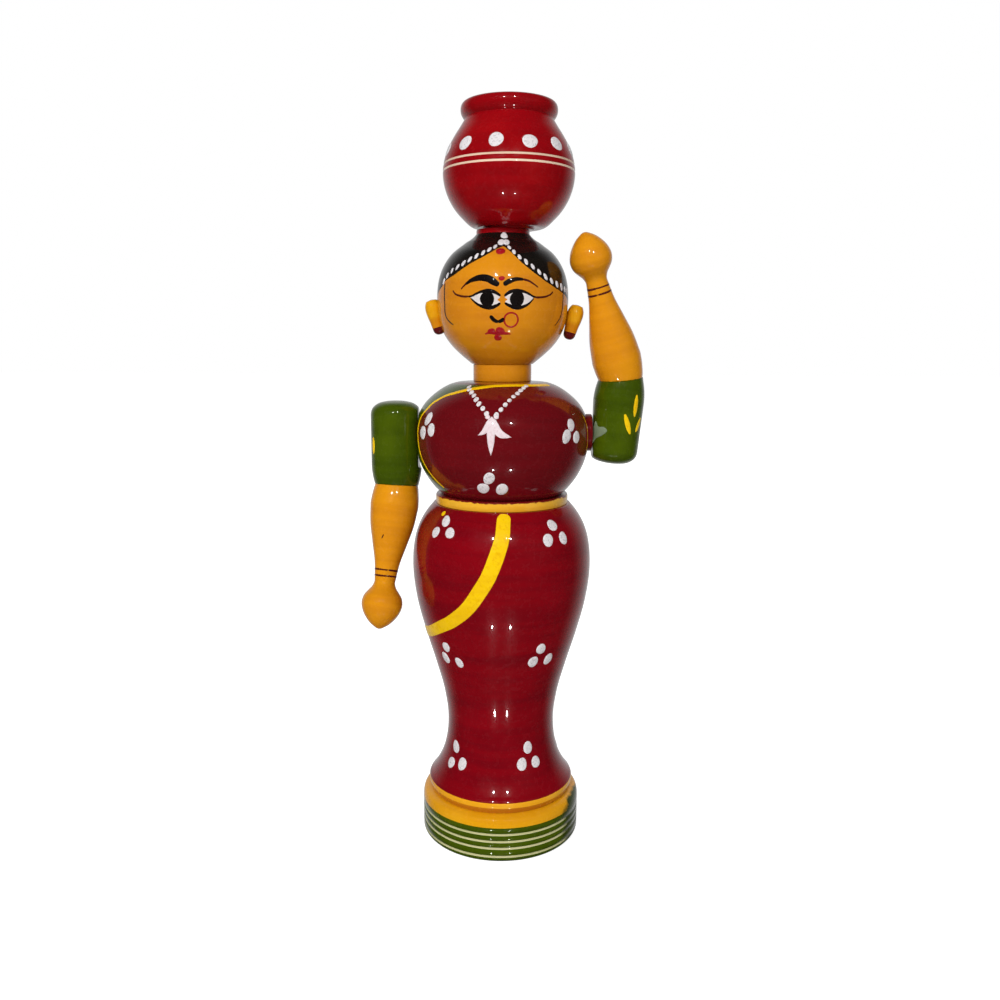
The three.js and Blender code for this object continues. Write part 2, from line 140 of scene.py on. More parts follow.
class Nodes:
    """Adds nodes to one tree, with their inputs set or linked in the same call."""

    def __init__(self, tree: bpy.types.NodeTree) -> None:
        """Keeps the tree."""
        self.tree = tree

    def feed(self, node: Node, inputs: Inputs) -> None:
        """Sets or links inputs of a node.

        Args:
            node: the node.
            inputs: a constant or an output for each input's name or number.
        """
        for key, value in inputs.items():
            socket = node.inputs[key]
            if isinstance(value, Socket):
                self.tree.links.new(value, socket)
            else:
                socket.default_value = (*value, 1) if socket.type == "RGBA" else value

    def add(self, kind: str, inputs: Inputs | None = None, **settings: object) -> Node:
        """Adds a node.

        Args:
            kind: its type, without the usual first word.
            inputs: what goes into it.
            settings: its own settings.

        Returns:
            The node.
        """
        node = self.tree.nodes.new(f"ShaderNode{kind}")
        for name, value in settings.items():
            setattr(node, name, value)
        self.feed(node, inputs or {})
        return node

    def maths(self, operation: str, first: Socket, second: Socket | float, clamp: bool = False) -> Socket:
        """Adds one sum.

        Args:
            operation: what it does.
            first: its first value.
            second: its second value.
            clamp: whether the result stays between 0 and 1.

        Returns:
            The result.
        """
        return self.add("Math", {0: first, 1: second}, operation=operation, use_clamp=clamp).outputs[0]

    def noise(self, vector: Socket, scale: Socket | float, detail: float, roughness: float = 0.5) -> Socket:
        """Adds a cloudy noise.

        Args:
            vector: where it is read.
            scale: how many clouds there are in a metre.
            detail: how many finer layers it has.
            roughness: how strong they are.

        Returns:
            Its value.
        """
        inputs = {"Vector": vector, "Scale": scale, "Detail": detail, "Roughness": roughness}
        return self.add("TexNoise", inputs).outputs["Fac"]

    def stretched_noise(self, vector: Socket, scales: Triple, detail: float, roughness: float) -> Socket:
        """Adds a noise with its own scale along each axis.

        Args:
            vector: where it is read.
            scales: how many clouds there are in a metre along X, Y and Z.
            detail: how many finer layers it has.
            roughness: how strong they are.

        Returns:
            Its value.
        """
        place = self.add("VectorMath", {0: vector, 1: scales}, operation="MULTIPLY").outputs["Vector"]
        return self.noise(place, 1.0, detail, roughness)

    def span(self, value: Socket, low: float, high: float, amount: float = 1.0) -> Socket:
        """Stretches a value.

        Args:
            value: what is stretched.
            low: what becomes 0.
            high: what becomes the amount.
            amount: the greatest result.

        Returns:
            The result.
        """
        inputs = {"Value": value, "From Min": low, "From Max": high, "To Max": amount}
        return self.add("MapRange", inputs, interpolation_type="SMOOTHSTEP").outputs["Result"]

    def mix(self, mask: Socket, first: Socket | Colour, second: Socket | Colour) -> Socket:
        """Mixes two colours.

        Args:
            mask: 0 for the first and 1 for the second.
            first: a colour.
            second: a colour.

        Returns:
            The mixed colour.
        """
        return self.add("Mix", {"Factor": mask, 6: first, 7: second}, data_type="RGBA").outputs[2]

    def bump(self, height: Socket, distance: float) -> Socket:
        """Adds relief.

        Args:
            height: the relief's shape.
            distance: its depth in metres.

        Returns:
            The normal.
        """
        inputs = {"Height": height, "Strength": 1.0, "Distance": distance}
        return self.add("Bump", inputs).outputs["Normal"]


class Effects:
    """Shader node groups that several finishes share. Each is built once."""

    def __init__(self) -> None:
        """Builds the lathe's rings, the mottling of the lac and the ragged painted edge."""
        rings = {"Bands": ((14, 14, 190), 4.0, 0.6), "Lines": ((40, 40, 2600), 2.0, 0.5)}
        clouds = {"Clouds": ((55, 55, 55), 3.0, 0.5), "Smears": ((420, 420, 420), 5.0, 0.65)}
        self.turning = self._noises("turning_marks", rings)
        self.mottle = self._noises("lac_mottle", clouds)
        self.edge = self._painted_edge()

    @staticmethod
    def _open(name: str, values: Mapping[str, float], outputs: Sequence[str]) -> tuple[Nodes, Node, Node]:
        """Starts a group that reads a vector.

        Args:
            name: the group's name.
            values: the name and starting value of each other input.
            outputs: the names of the outputs.

        Returns:
            The group's nodes, its input node and its output node.
        """
        tree = bpy.data.node_groups.new(name, "ShaderNodeTree")
        tree.interface.new_socket("Vector", in_out="INPUT", socket_type="NodeSocketVector")
        for label, value in values.items():
            socket = tree.interface.new_socket(label, in_out="INPUT", socket_type="NodeSocketFloat")
            socket.default_value = value
        for label in outputs:
            tree.interface.new_socket(label, in_out="OUTPUT", socket_type="NodeSocketFloat")
        return Nodes(tree), tree.nodes.new("NodeGroupInput"), tree.nodes.new("NodeGroupOutput")

    def _noises(self, name: str, layers: Mapping[str, tuple[Triple, float, float]]) -> bpy.types.NodeTree:
        """Builds a group of noises.

        Args:
            name: the group's name.
            layers: scales, detail and roughness for each output.

        Returns:
            The group.
        """
        nodes, source, result = self._open(name, {}, list(layers))
        for label, layer in layers.items():
            nodes.feed(result, {label: nodes.stretched_noise(source.outputs["Vector"], *layer)})
        return nodes.tree

    def _painted_edge(self) -> bpy.types.NodeTree:
        """Builds the painted edge: a mask that is 1 past an edge, with a ragged border.

        Returns:
            The group.
        """
        values = {"Along": 0.0, "Edge": 0.0, "Softness": 0.1, "Raggedness": 0.5, "Grain": 900.0}
        nodes, source, result = self._open("painted_edge", values, ["Mask"])
        given = source.outputs
        centred = nodes.maths("SUBTRACT", nodes.noise(given["Vector"], given["Grain"], 4.0), 0.5)
        wander = nodes.maths("MULTIPLY", centred, given["Raggedness"])
        past = nodes.maths("SUBTRACT", nodes.maths("ADD", given["Along"], wander), given["Edge"])
        share = nodes.maths("DIVIDE", past, given["Softness"])
        nodes.feed(result, {"Mask": nodes.maths("ADD", share, 0.5, clamp=True)})
        return nodes.tree


@dataclass(frozen=True)
class Patch:
    """A second colour past a painted edge.

    Attributes:
        colour: its colour.
        direction: the direction in the turning's own frame along which the edge is measured.
        edge: where the edge is along that direction.
        softness: how wide the change is.
        raggedness: how far the edge wanders.
        grain: how many wanders there are in a metre.
    """

    colour: Colour
    direction: Triple
    edge: float
    softness: float
    raggedness: float
    grain: float


@dataclass(frozen=True)
class Finish:
    """A coat of coloured lac or enamel.

    Attributes:
        name: the material's name.
        colour: its usual colour.
        deep: the colour where the coat is thick.
        pale: the colour where it is thin.
        band: how much the lathe's rings change the colour.
        cloud: how much slow clouds change the colour.
        gloss: roughness under the clear coat.
        clear: weight of the clear coat.
        relief: height of the fine lines in micrometres.
        brushed: how many brush marks there are in a metre, 0 for a lathe finish.
        patches: colours past a painted edge.
    """

    name: str
    colour: Colour
    deep: Colour
    pale: Colour
    band: float = 0.5
    cloud: float = 0.4
    gloss: float = 0.24
    clear: float = 1.0
    relief: float = 3.0
    brushed: float = 0.0
    patches: tuple[Patch, ...] = ()


Band = tuple[float, Finish]

CRIMSON = Finish("crimson_lac", (0.22, 0.0008, 0.005), (0.125, 0.0008, 0.005), (0.27, 0.001, 0.007))
MAROON = Finish("maroon_lac", (0.135, 0.003, 0.006), (0.10, 0.003, 0.005), (0.165, 0.004, 0.006))
POT_RED = Finish("pot_red_lac", (0.29, 0.001, 0.004), (0.20, 0.001, 0.003), (0.40, 0.003, 0.004))
GREEN = Finish("green_lac", (0.052, 0.085, 0.001), (0.028, 0.05, 0.001), (0.09, 0.13, 0.002))
SKIN = Finish("skin_lac", (0.66, 0.235, 0.008), (0.54, 0.165, 0.007), (0.72, 0.27, 0.006), cloud=0.6)
ARM_SKIN = Finish("arm_lac", (0.72, 0.27, 0.006), (0.60, 0.20, 0.006), (0.80, 0.33, 0.004))
YELLOW = Finish("yellow_lac", (0.78, 0.35, 0.004), (0.68, 0.27, 0.006), (0.86, 0.44, 0.02))
PALE_YELLOW = Finish("lip_lac", (0.86, 0.39, 0.012), (0.74, 0.30, 0.012), (0.93, 0.50, 0.06))
# painted shade: the yellow cove at the skirt's foot is coloured a darker brown-orange, for the groove's
# shadow
COVE_PAINTED_SHADE = Finish("cove_lac_painted_shade", (0.56, 0.18, 0.008), (0.40, 0.11, 0.006), (0.68, 0.27, 0.01))
EAR_DROP = Finish("ear_drop", (0.105, 0.006, 0.008), (0.07, 0.004, 0.006), (0.15, 0.01, 0.01))
CREAM = Finish("cream_line", (0.60, 0.57, 0.30), (0.42, 0.44, 0.17), (0.70, 0.66, 0.40), band=0.3)
POT_CREAM = Finish("pot_cream_line", (0.82, 0.63, 0.47), (0.66, 0.42, 0.28), (0.88, 0.72, 0.56))
BLACK = Finish("hair_black", (0.0075, 0.0055, 0.0045), (0.004, 0.003, 0.003), (0.014, 0.013, 0.009))
INK = Finish("face_ink", (0.006, 0.004, 0.004), (0.004, 0.003, 0.003), (0.012, 0.008, 0.008), gloss=0.3)
BROWN_INK = Finish("brown_ink", (0.09, 0.012, 0.006), (0.04, 0.006, 0.004), (0.13, 0.02, 0.01), gloss=0.3)
LIP_RED = Finish("lip_red", (0.38, 0.006, 0.012), (0.26, 0.004, 0.01), (0.46, 0.03, 0.03), gloss=0.25)
EYE_WHITE = Finish("eye_white", (0.72, 0.66, 0.64), (0.6, 0.52, 0.5), (0.8, 0.75, 0.74), gloss=0.3)
# dried adhesive whose pale grey-green is also a painted reflection of the white surround on the green lac
GLUE_AND_GLARE = Finish("dried_glue_and_painted_glare", (0.17, 0.22, 0.13), (0.10, 0.14, 0.06), (0.34, 0.38, 0.30), gloss=0.35)
WHITE = Finish(
    "white_enamel", (0.76, 0.72, 0.73), (0.40, 0.37, 0.39), (0.84, 0.82, 0.82),
    band=0.1, gloss=0.34, clear=0.35, relief=60, brushed=1500,
)
PENDANT_WHITE = Finish(
    "pendant_white", (0.84, 0.74, 0.76), (0.70, 0.52, 0.55), (0.88, 0.83, 0.84),
    gloss=0.3, relief=40, brushed=900,
)
ENAMEL_YELLOW = Finish(
    "yellow_enamel", (0.90, 0.56, 0.002), (0.80, 0.44, 0.002), (0.95, 0.64, 0.01),
    gloss=0.3, clear=0.5, relief=40, brushed=500,
)


class Painter:
    """Makes the materials, one for each finish."""

    def __init__(self, effects: Effects) -> None:
        """Keeps the shared groups."""
        self.effects = effects
        self.made: dict[str, bpy.types.Material] = {}

    @staticmethod
    def blank(name: str) -> tuple[bpy.types.Material, Nodes, Node]:
        """Starts a material.

        Args:
            name: its name.

        Returns:
            The material, its nodes and its surface shader.
        """
        material = bpy.data.materials.new(name)
        material.use_nodes = True
        return material, Nodes(material.node_tree), material.node_tree.nodes["Principled BSDF"]

    def material(self, finish: Finish) -> bpy.types.Material:
        """Finds the material of a finish, and makes it on first use.

        Args:
            finish: what it looks like.

        Returns:
            The material.
        """
        if finish.name not in self.made:
            self.made[finish.name] = self._build(finish)
        return self.made[finish.name]

    def _build(self, finish: Finish) -> bpy.types.Material:
        """Builds a lac or enamel material.

        Args:
            finish: what it looks like.

        Returns:
            The material.
        """
        material, nodes, shader = self.blank(finish.name)
        place = nodes.add("TexCoord").outputs["Object"]
        turning = nodes.add("Group", {"Vector": place}, node_tree=self.effects.turning).outputs
        mottle = nodes.add("Group", {"Vector": place}, node_tree=self.effects.mottle).outputs
        colour = nodes.mix(nodes.span(turning["Bands"], 0.42, 0.62, finish.band), finish.colour, finish.deep)
        colour = nodes.mix(nodes.span(mottle["Clouds"], 0.45, 0.75, finish.cloud), colour, finish.pale)
        height = turning["Lines"]
        if finish.brushed:
            height = nodes.noise(place, finish.brushed, 3.0, 0.7)
            colour = nodes.mix(nodes.span(height, 0.5, 0.66, 0.8), colour, finish.deep)
        for patch in finish.patches:
            colour = self._patch(nodes, place, colour, patch)
        smears = nodes.span(mottle["Smears"], 0.3, 0.8)
        ends = {"To Min": finish.gloss * 0.75, "To Max": finish.gloss * 1.5}
        nodes.feed(shader, {
            "Base Color": colour,
            "Roughness": nodes.add("MapRange", {"Value": smears, **ends}).outputs["Result"],
            "IOR": 1.5,
            "Specular IOR Level": 0.12,
            "Coat Weight": finish.clear,
            "Coat Roughness": 0.04,
            "Coat IOR": 1.5,
            "Normal": nodes.bump(height, finish.relief * 1e-6),
        })
        return material

    def _patch(self, nodes: Nodes, place: Socket, colour: Socket, patch: Patch) -> Socket:
        """Adds a second colour past a painted edge.

        Args:
            nodes: the material's nodes.
            place: the place on the piece.
            colour: the first colour.
            patch: the second colour and its edge.

        Returns:
            The colour with the patch on it.
        """
        along = nodes.add("VectorMath", {0: place, 1: patch.direction}, operation="DOT_PRODUCT")
        inputs = {
            "Vector": place,
            "Along": along.outputs["Value"],
            "Edge": patch.edge * MM,
            "Softness": patch.softness * MM,
            "Raggedness": patch.raggedness * MM,
            "Grain": patch.grain,
        }
        edge = nodes.add("Group", inputs, node_tree=self.effects.edge)
        return nodes.mix(edge.outputs["Mask"], colour, patch.colour)

    def bare_wood(self) -> bpy.types.Material:
        """Builds pale close-grained wood, for dowels, pegs and pins.

        Returns:
            The material.
        """
        material, nodes, shader = self.blank("bare_wood_grain")
        place = nodes.add("TexCoord").outputs["Object"]
        grain = nodes.span(nodes.stretched_noise(place, (900, 900, 90), 5.0, 0.6), 0.35, 0.7)
        colour = nodes.mix(grain, (0.62, 0.42, 0.22), (0.36, 0.2, 0.09))
        nodes.feed(shader, {"Base Color": colour, "Roughness": 0.6, "Normal": nodes.bump(grain, 2e-5)})
        return material


# ---------------------------------------------------------------- outlines


def half_section(node: str, place: Matrix, toward: Vector) -> dict[Point, list[Point]]:
    """Cuts a plain solid through its turning axis.

    Args:
        node: the solid.
        place: the turning's own frame, with its axis along Z.
        toward: the side of the axis to read, square to Z.

    Returns:
        Each (radius, height) corner of the cut, with the corners joined to it.
    """
    mesh = bmesh.new()
    mesh.from_mesh(frame["nodes"][node].data)
    mesh.transform(place.inverted())
    bmesh.ops.remove_doubles(mesh, verts=mesh.verts[:], dist=MERGE)
    everything = mesh.verts[:] + mesh.edges[:] + mesh.faces[:]
    plane = {"plane_co": (0, 0, 0), "plane_no": toward.cross(Z_AXIS)}
    cut = bmesh.ops.bisect_plane(mesh, geom=everything, dist=MERGE, **plane)["geom_cut"]
    links: dict[Point, list[Point]] = defaultdict(list)
    for edge in (part for part in cut if isinstance(part, bmesh.types.BMEdge)):
        (r0, z0), (r1, z1) = [(v.co.dot(toward) / MM, v.co.z / MM) for v in edge.verts]
        if max(r0, r1) < NEAR:
            continue
        if min(r0, r1) < 0:
            middle = (0.0, z0 + r0 / (r0 - r1) * (z1 - z0))
            (r0, z0), (r1, z1) = (middle, (r1, z1)) if r0 < 0 else ((r0, z0), middle)
        first, second = (round(r0, 2), round(z0, 2)), (round(r1, 2), round(z1, 2))
        if first != second:
            links[first].append(second)
            links[second].append(first)
    mesh.free()
    return links


def turn_angle(before: Point, at: Point, after: Point) -> float:
    """Measures how far a path turns at a point.

    Args:
        before: the point before it.
        at: the point.
        after: the point after it.

    Returns:
        The angle in radians.
    """
    first = math.atan2(at[1] - before[1], at[0] - before[0])
    second = math.atan2(after[1] - at[1], after[0] - at[0])
    return abs((second - first + math.pi) % math.tau - math.pi)


def read_outline(node: str, place: Matrix, toward: Vector, sawn: Sawn, hollow: bool) -> list[Point]:
    """Reads the outside of a turning from its plain solid.

    Args:
        node: the solid.
        place: the turning's own frame.
        toward: the side of the axis to read.
        sawn: which end was sawn, and is drawn past the saw cut here.
        hollow: whether the outline goes on into a hollow at the top.

    Returns:
        The outline from the foot's centre to the top's, as (radius, height).
    """
    flip = -1.0 if sawn is Sawn.FOOT else 1.0
    links = {
        (r, z * flip): [(a, b * flip) for a, b in ends]
        for (r, z), ends in half_section(node, place, toward).items()
    }
    low, high = min(z for _, z in links), max(z for _, z in links)
    path = [max(p for p in links if p[1] - low < LEVEL)]
    seen = set(path)
    while ahead := [p for p in links[path[-1]] if p not in seen]:
        following = max(ahead, key=lambda p: p[1]) if len(path) == 1 else ahead[0]
        if sawn is not Sawn.NONE and high - path[-1][1] < SAW_ZONE:
            if turn_angle(path[-2], path[-1], following) > 1.2 * CORNER:
                break
        path.append(following)
        seen.add(following)
        if not hollow and sawn is Sawn.NONE and high - following[1] < LEVEL:
            break
    if sawn is not Sawn.NONE:
        (r0, z0), (r1, z1) = path[-2], path[-1]
        reach = SAW_REACH / math.hypot(r1 - r0, z1 - z0)
        path.append((r1 + reach * (r1 - r0), z1 + reach * (z1 - z0)))
    if path[0][0] > 0:
        path.insert(0, (0.0, path[0][1]))
    if path[-1][0] > 0:
        path.append((0.0, path[-1][1]))
    return [(r, -z) for r, z in reversed(path)] if flip < 0 else path


def end_way(way: np.ndarray) -> np.ndarray:
    """Finds an outline's direction at the axis.

    Args:
        way: the direction of its last straight piece.

    Returns:
        The direction, level if the end is rounded.
    """
    rounded = abs(math.atan2(way[1], abs(way[0]))) < ROUND_END
    return np.array((math.copysign(1.0, way[0]), 0.0)) if rounded else way


def smooth_outline(points: Path, step: float, fillet: float) -> list[Point]:
    """Draws a smooth outline through the corners of a faceted one.

    Args:
        points: the faceted outline, which starts and ends on the axis.
        step: distance between the points of the result on curves.
        fillet: how much is taken off a true corner.

    Returns:
        The smooth outline.
    """
    kept = [np.array(points[0])]
    for point in points[1:]:
        if math.dist(point, kept[-1]) > 0.03:
            kept.append(np.array(point))
    steps = [b - a for a, b in zip(kept, kept[1:])]
    lengths = [float(np.linalg.norm(s)) for s in steps]
    ways = [s / n for s, n in zip(steps, lengths)]
    stations = [(kept[0], end_way(ways[0]))]
    for at, before, after, back, on in zip(kept[1:], ways, ways[1:], lengths, lengths[1:]):
        if math.acos(max(-1.0, min(1.0, float(before @ after)))) > CORNER:
            stations.append((at - min(fillet, 0.4 * back) * before, before))
            stations.append((at + min(fillet, 0.4 * on) * after, after))
        elif back / on > 2.5:
            stations.append((at, before))
        elif back / on < 0.4:
            stations.append((at, after))
        else:
            way = on * before + back * after
            stations.append((at, way / np.linalg.norm(way)))
    stations.append((kept[-1], end_way(ways[-1])))

    result = [tuple(float(x) for x in stations[0][0])]
    for (p0, w0), (p1, w1) in zip(stations, stations[1:]):
        length = math.dist(p0, p1)
        if length < 1e-4:
            continue
        way = (p1 - p0) / length
        straight = min(float(way @ w0), float(way @ w1)) > 0.99995
        count = 1 if straight else max(3, math.ceil(length / step))
        for t in (k / count for k in range(1, count + 1)):
            a, b = 2 * t**3 - 3 * t**2 + 1, t**3 - 2 * t**2 + t
            c, d = -2 * t**3 + 3 * t**2, t**3 - t**2
            point = a * p0 + b * length * w0 + c * p1 + d * length * w1
            result.append((max(0.0, float(point[0])), float(point[1])))
    return result


def with_heights(points: Path, heights: Sequence[float]) -> list[Point]:
    """Adds a point on an outline's outer side at each of some heights.

    Args:
        points: the outline.
        heights: where the points are added.

    Returns:
        The outline with the new points.
    """
    result = list(points)
    for height in heights:
        for i, ((r0, z0), (r1, z1)) in enumerate(zip(result, result[1:])):
            if z0 < height < z1 and min(height - z0, z1 - height) > NEAR:
                result.insert(i + 1, (r0 + (height - z0) / (z1 - z0) * (r1 - r0), height))
                break
    return result


def with_grooves(points: Path, lines: Sequence[float], width: float, depth: float) -> list[Point]:
    """Cuts shallow lines into the outer side of an outline, as a turner's point does.

    Args:
        points: the outline.
        lines: the heights of the lines.
        width: how wide they are.
        depth: how deep they are.

    Returns:
        The outline with the lines cut into it.
    """
    result, bevel = list(points), 0.12
    for line in lines:
        low, high = line - width / 2, line + width / 2
        result = [
            (r - depth, z) if low - 0.005 <= z <= high + 0.005 and r > depth else (r, z)
            for r, z in with_heights(result, (low - bevel, low, high, high + bevel))
        ]
    return result


class Surface:
    """The outer skin of a turning, on which paint is laid."""

    REACH = 0.35

    def __init__(self, outline: Path) -> None:
        """Keeps the part of an outline that climbs from foot to top.

        Args:
            outline: the turning's outline.
        """
        top = max(range(len(outline)), key=lambda i: outline[i][1])
        foot = next(i for i, (r, _) in enumerate(outline) if r > 0)
        if outline[0][1] < outline[foot][1] - 0.001:
            foot = 0
        part = np.array(outline[foot : top + 1])
        part = part[np.concatenate(([True], np.diff(part[:, 1]) > 1e-5))]
        self.radii, self.heights = part[:, 0], part[:, 1]
        gaps = np.hypot(np.diff(self.radii), np.diff(self.heights))
        self.lengths = np.concatenate(([0.0], np.cumsum(gaps)))

    def along(self, height: float) -> float:
        """The distance along the outline at a height."""
        return float(np.interp(height, self.heights, self.lengths))

    def height(self, along: float) -> float:
        """The height at a distance along the outline."""
        return float(np.interp(along, self.lengths, self.heights))

    def radius(self, along: float) -> float:
        """The radius at a distance along the outline."""
        return float(np.interp(along, self.lengths, self.radii))

    def point(self, azimuth: float, along: float, lift: float) -> Vector:
        """Finds a point over the skin.

        Args:
            azimuth: degrees from the front, towards +X.
            along: distance along the outline.
            lift: height over the skin.

        Returns:
            The point in the turning's own frame, in metres.
        """
        lower, upper = along - self.REACH, along + self.REACH
        rise = self.height(upper) - self.height(lower)
        spread = self.radius(upper) - self.radius(lower)
        size = math.hypot(rise, spread) or 1.0
        radius = max(self.radius(along) + lift * rise / size, NEAR)
        return ring_point(radius, math.radians(azimuth), self.height(along) - lift * spread / size)


# ---------------------------------------------------------------- meshes


def ring_point(radius: float, angle: float, height: float) -> Vector:
    """Places a point round an upright axis.

    Args:
        radius: its distance from the axis.
        angle: its angle from the front towards +X, in radians.
        height: its height.

    Returns:
        The point in metres.
    """
    return Vector((radius * math.sin(angle), -radius * math.cos(angle), height)) * MM


def join_rows(mesh: Mesh, lower: Row, upper: Row, around: bool, index: int = 0) -> None:
    """Joins two rows of corners with faces. A corner that fills a whole row makes a fan.

    Args:
        mesh: where the faces go.
        lower: the first row.
        upper: the second row, which is as long.
        around: whether the rows close on themselves.
        index: the faces' material.
    """
    for k in range(len(lower) - (not around)):
        n = (k + 1) % len(lower)
        corners = tuple(dict.fromkeys((lower[k], lower[n], upper[n], upper[k])))
        if len(corners) > 2:
            mesh.faces.new(corners).material_index = index


def make_object(name: str, mesh: Mesh, materials: Sequence[bpy.types.Material]) -> bpy.types.Object:
    """Turns a finished bmesh into a smooth-shaded object in the scene.

    Args:
        name: the piece's name.
        mesh: its faces, which are freed.
        materials: its materials in slot order.

    Returns:
        The object.
    """
    data = bpy.data.meshes.new(name)
    mesh.normal_update()
    mesh.to_mesh(data)
    mesh.free()
    for material in materials:
        data.materials.append(material)
    data.shade_smooth()
    piece = bpy.data.objects.new(name, data)
    bpy.context.scene.collection.objects.link(piece)
    return piece


@dataclass
class Turning:
    """A fine lathe that stands for one plain solid.

    Attributes:
        node: the plain solid.
        place: its own frame, with the axis along Z and the front on -Y.
        body: the body that it moves with.
        slot: the record's finish; not used.
        bands: (height, finish) from the foot up: each finish starts at its height.
        toward: the side of the axis that the outline is read from.
        sides: how many sides the lathe has.
        sawn: which end is sawn.
        hollow: whether it is hollow at the top.
        lines: heights of scored lines.
        line_width: how wide they are.
        line_depth: how deep they are.
        step: distance between rings on curves.
        fillet: how much is taken off a true corner.
    """

    node: str
    place: Matrix
    body: Body
    slot: Slot
    bands: Sequence[Band]
    toward: Vector = field(default_factory=FRONT.copy)
    sides: int = 144
    sawn: Sawn = Sawn.NONE
    hollow: bool = False
    lines: Sequence[float] = ()
    line_width: float = 0.7
    line_depth: float = 0.12
    step: float = 0.8
    fillet: float = 0.3

    def __post_init__(self) -> None:
        """Reads and smooths the outline."""
        outline = read_outline(self.node, self.place, self.toward, self.sawn, self.hollow)
        outline = smooth_outline(outline, self.step, self.fillet)
        outline = with_heights(outline, [height for height, _ in self.bands])
        self.outline = with_grooves(outline, self.lines, self.line_width, self.line_depth)
        self.surface = Surface(self.outline)

    def mesh(self) -> Mesh:
        """Turns the outline.

        Returns:
            The lathe in its own frame, with its bands as material numbers.
        """
        mesh = bmesh.new()
        rings = []
        for radius, height in self.outline:
            if radius < 0.005:
                rings.append([mesh.verts.new((0, 0, height * MM))] * self.sides)
                continue
            angles = [math.tau * k / self.sides for k in range(self.sides)]
            rings.append([mesh.verts.new(ring_point(radius, angle, height)) for angle in angles])
        crest = max(range(len(self.outline)), key=lambda i: self.outline[i][1])
        for row, (lower, upper) in enumerate(zip(rings, rings[1:])):
            middle = (self.outline[row][1] + self.outline[row + 1][1]) / 2
            outside = row < crest or not self.hollow
            passed = sum(middle > height for height, _ in self.bands) if outside else 0
            join_rows(mesh, lower, upper, True, max(passed - 1, 0))
        return mesh

    def build(
        self, painter: Painter, name: str, shape: Callable[[Mesh], None] | None = None
    ) -> bpy.types.Object:
        """Makes the piece and lets it stand for its plain solid.

        Args:
            painter: makes the materials.
            name: the piece's name.
            shape: an edit of the bmesh before it becomes an object.

        Returns:
            The piece.
        """
        mesh = self.mesh()
        if shape is not None:
            shape(mesh)
        piece = make_object(name, mesh, [painter.material(finish) for _, finish in self.bands])
        piece.matrix_world = self.place
        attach(piece, self.body.value)
        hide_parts(self.node)
        LOG.info("%s stands for %s", name, self.node)
        return piece


def through(points: Path, count: int, closed: bool = False) -> list[np.ndarray]:
    """Draws a smooth curve through some points.

    Args:
        points: the points.
        count: how many points the curve has.
        closed: whether it is a ring.

    Returns:
        Evenly spaced points on the curve.
    """
    fixed = [np.array(p, float) for p in points]
    if len(fixed) == 2 and not closed:
        return [fixed[0] + (fixed[1] - fixed[0]) * k / (count - 1) for k in range(count)]
    if closed:
        padded = [fixed[-1], *fixed, fixed[0], fixed[1]]
    else:
        padded = [2 * fixed[0] - fixed[1], *fixed, 2 * fixed[-1] - fixed[-2]]
    dense = []
    for a, b, c, d in zip(padded, padded[1:], padded[2:], padded[3:]):
        for t in (k / CURVE_PARTS for k in range(CURVE_PARTS)):
            bend, twist = 2 * a - 5 * b + 4 * c - d, 3 * b - a - 3 * c + d
            dense.append(0.5 * (2 * b + (c - a) * t + bend * t**2 + twist * t**3))
    dense.append(fixed[0] if closed else fixed[-1])
    marks = np.concatenate(([0.0], np.cumsum([math.dist(p, q) for p, q in zip(dense, dense[1:])])))
    wanted = np.linspace(0, marks[-1], count, endpoint=not closed)
    table = np.array(dense)
    return list(np.column_stack([np.interp(wanted, marks, table[:, axis]) for axis in (0, 1)]))


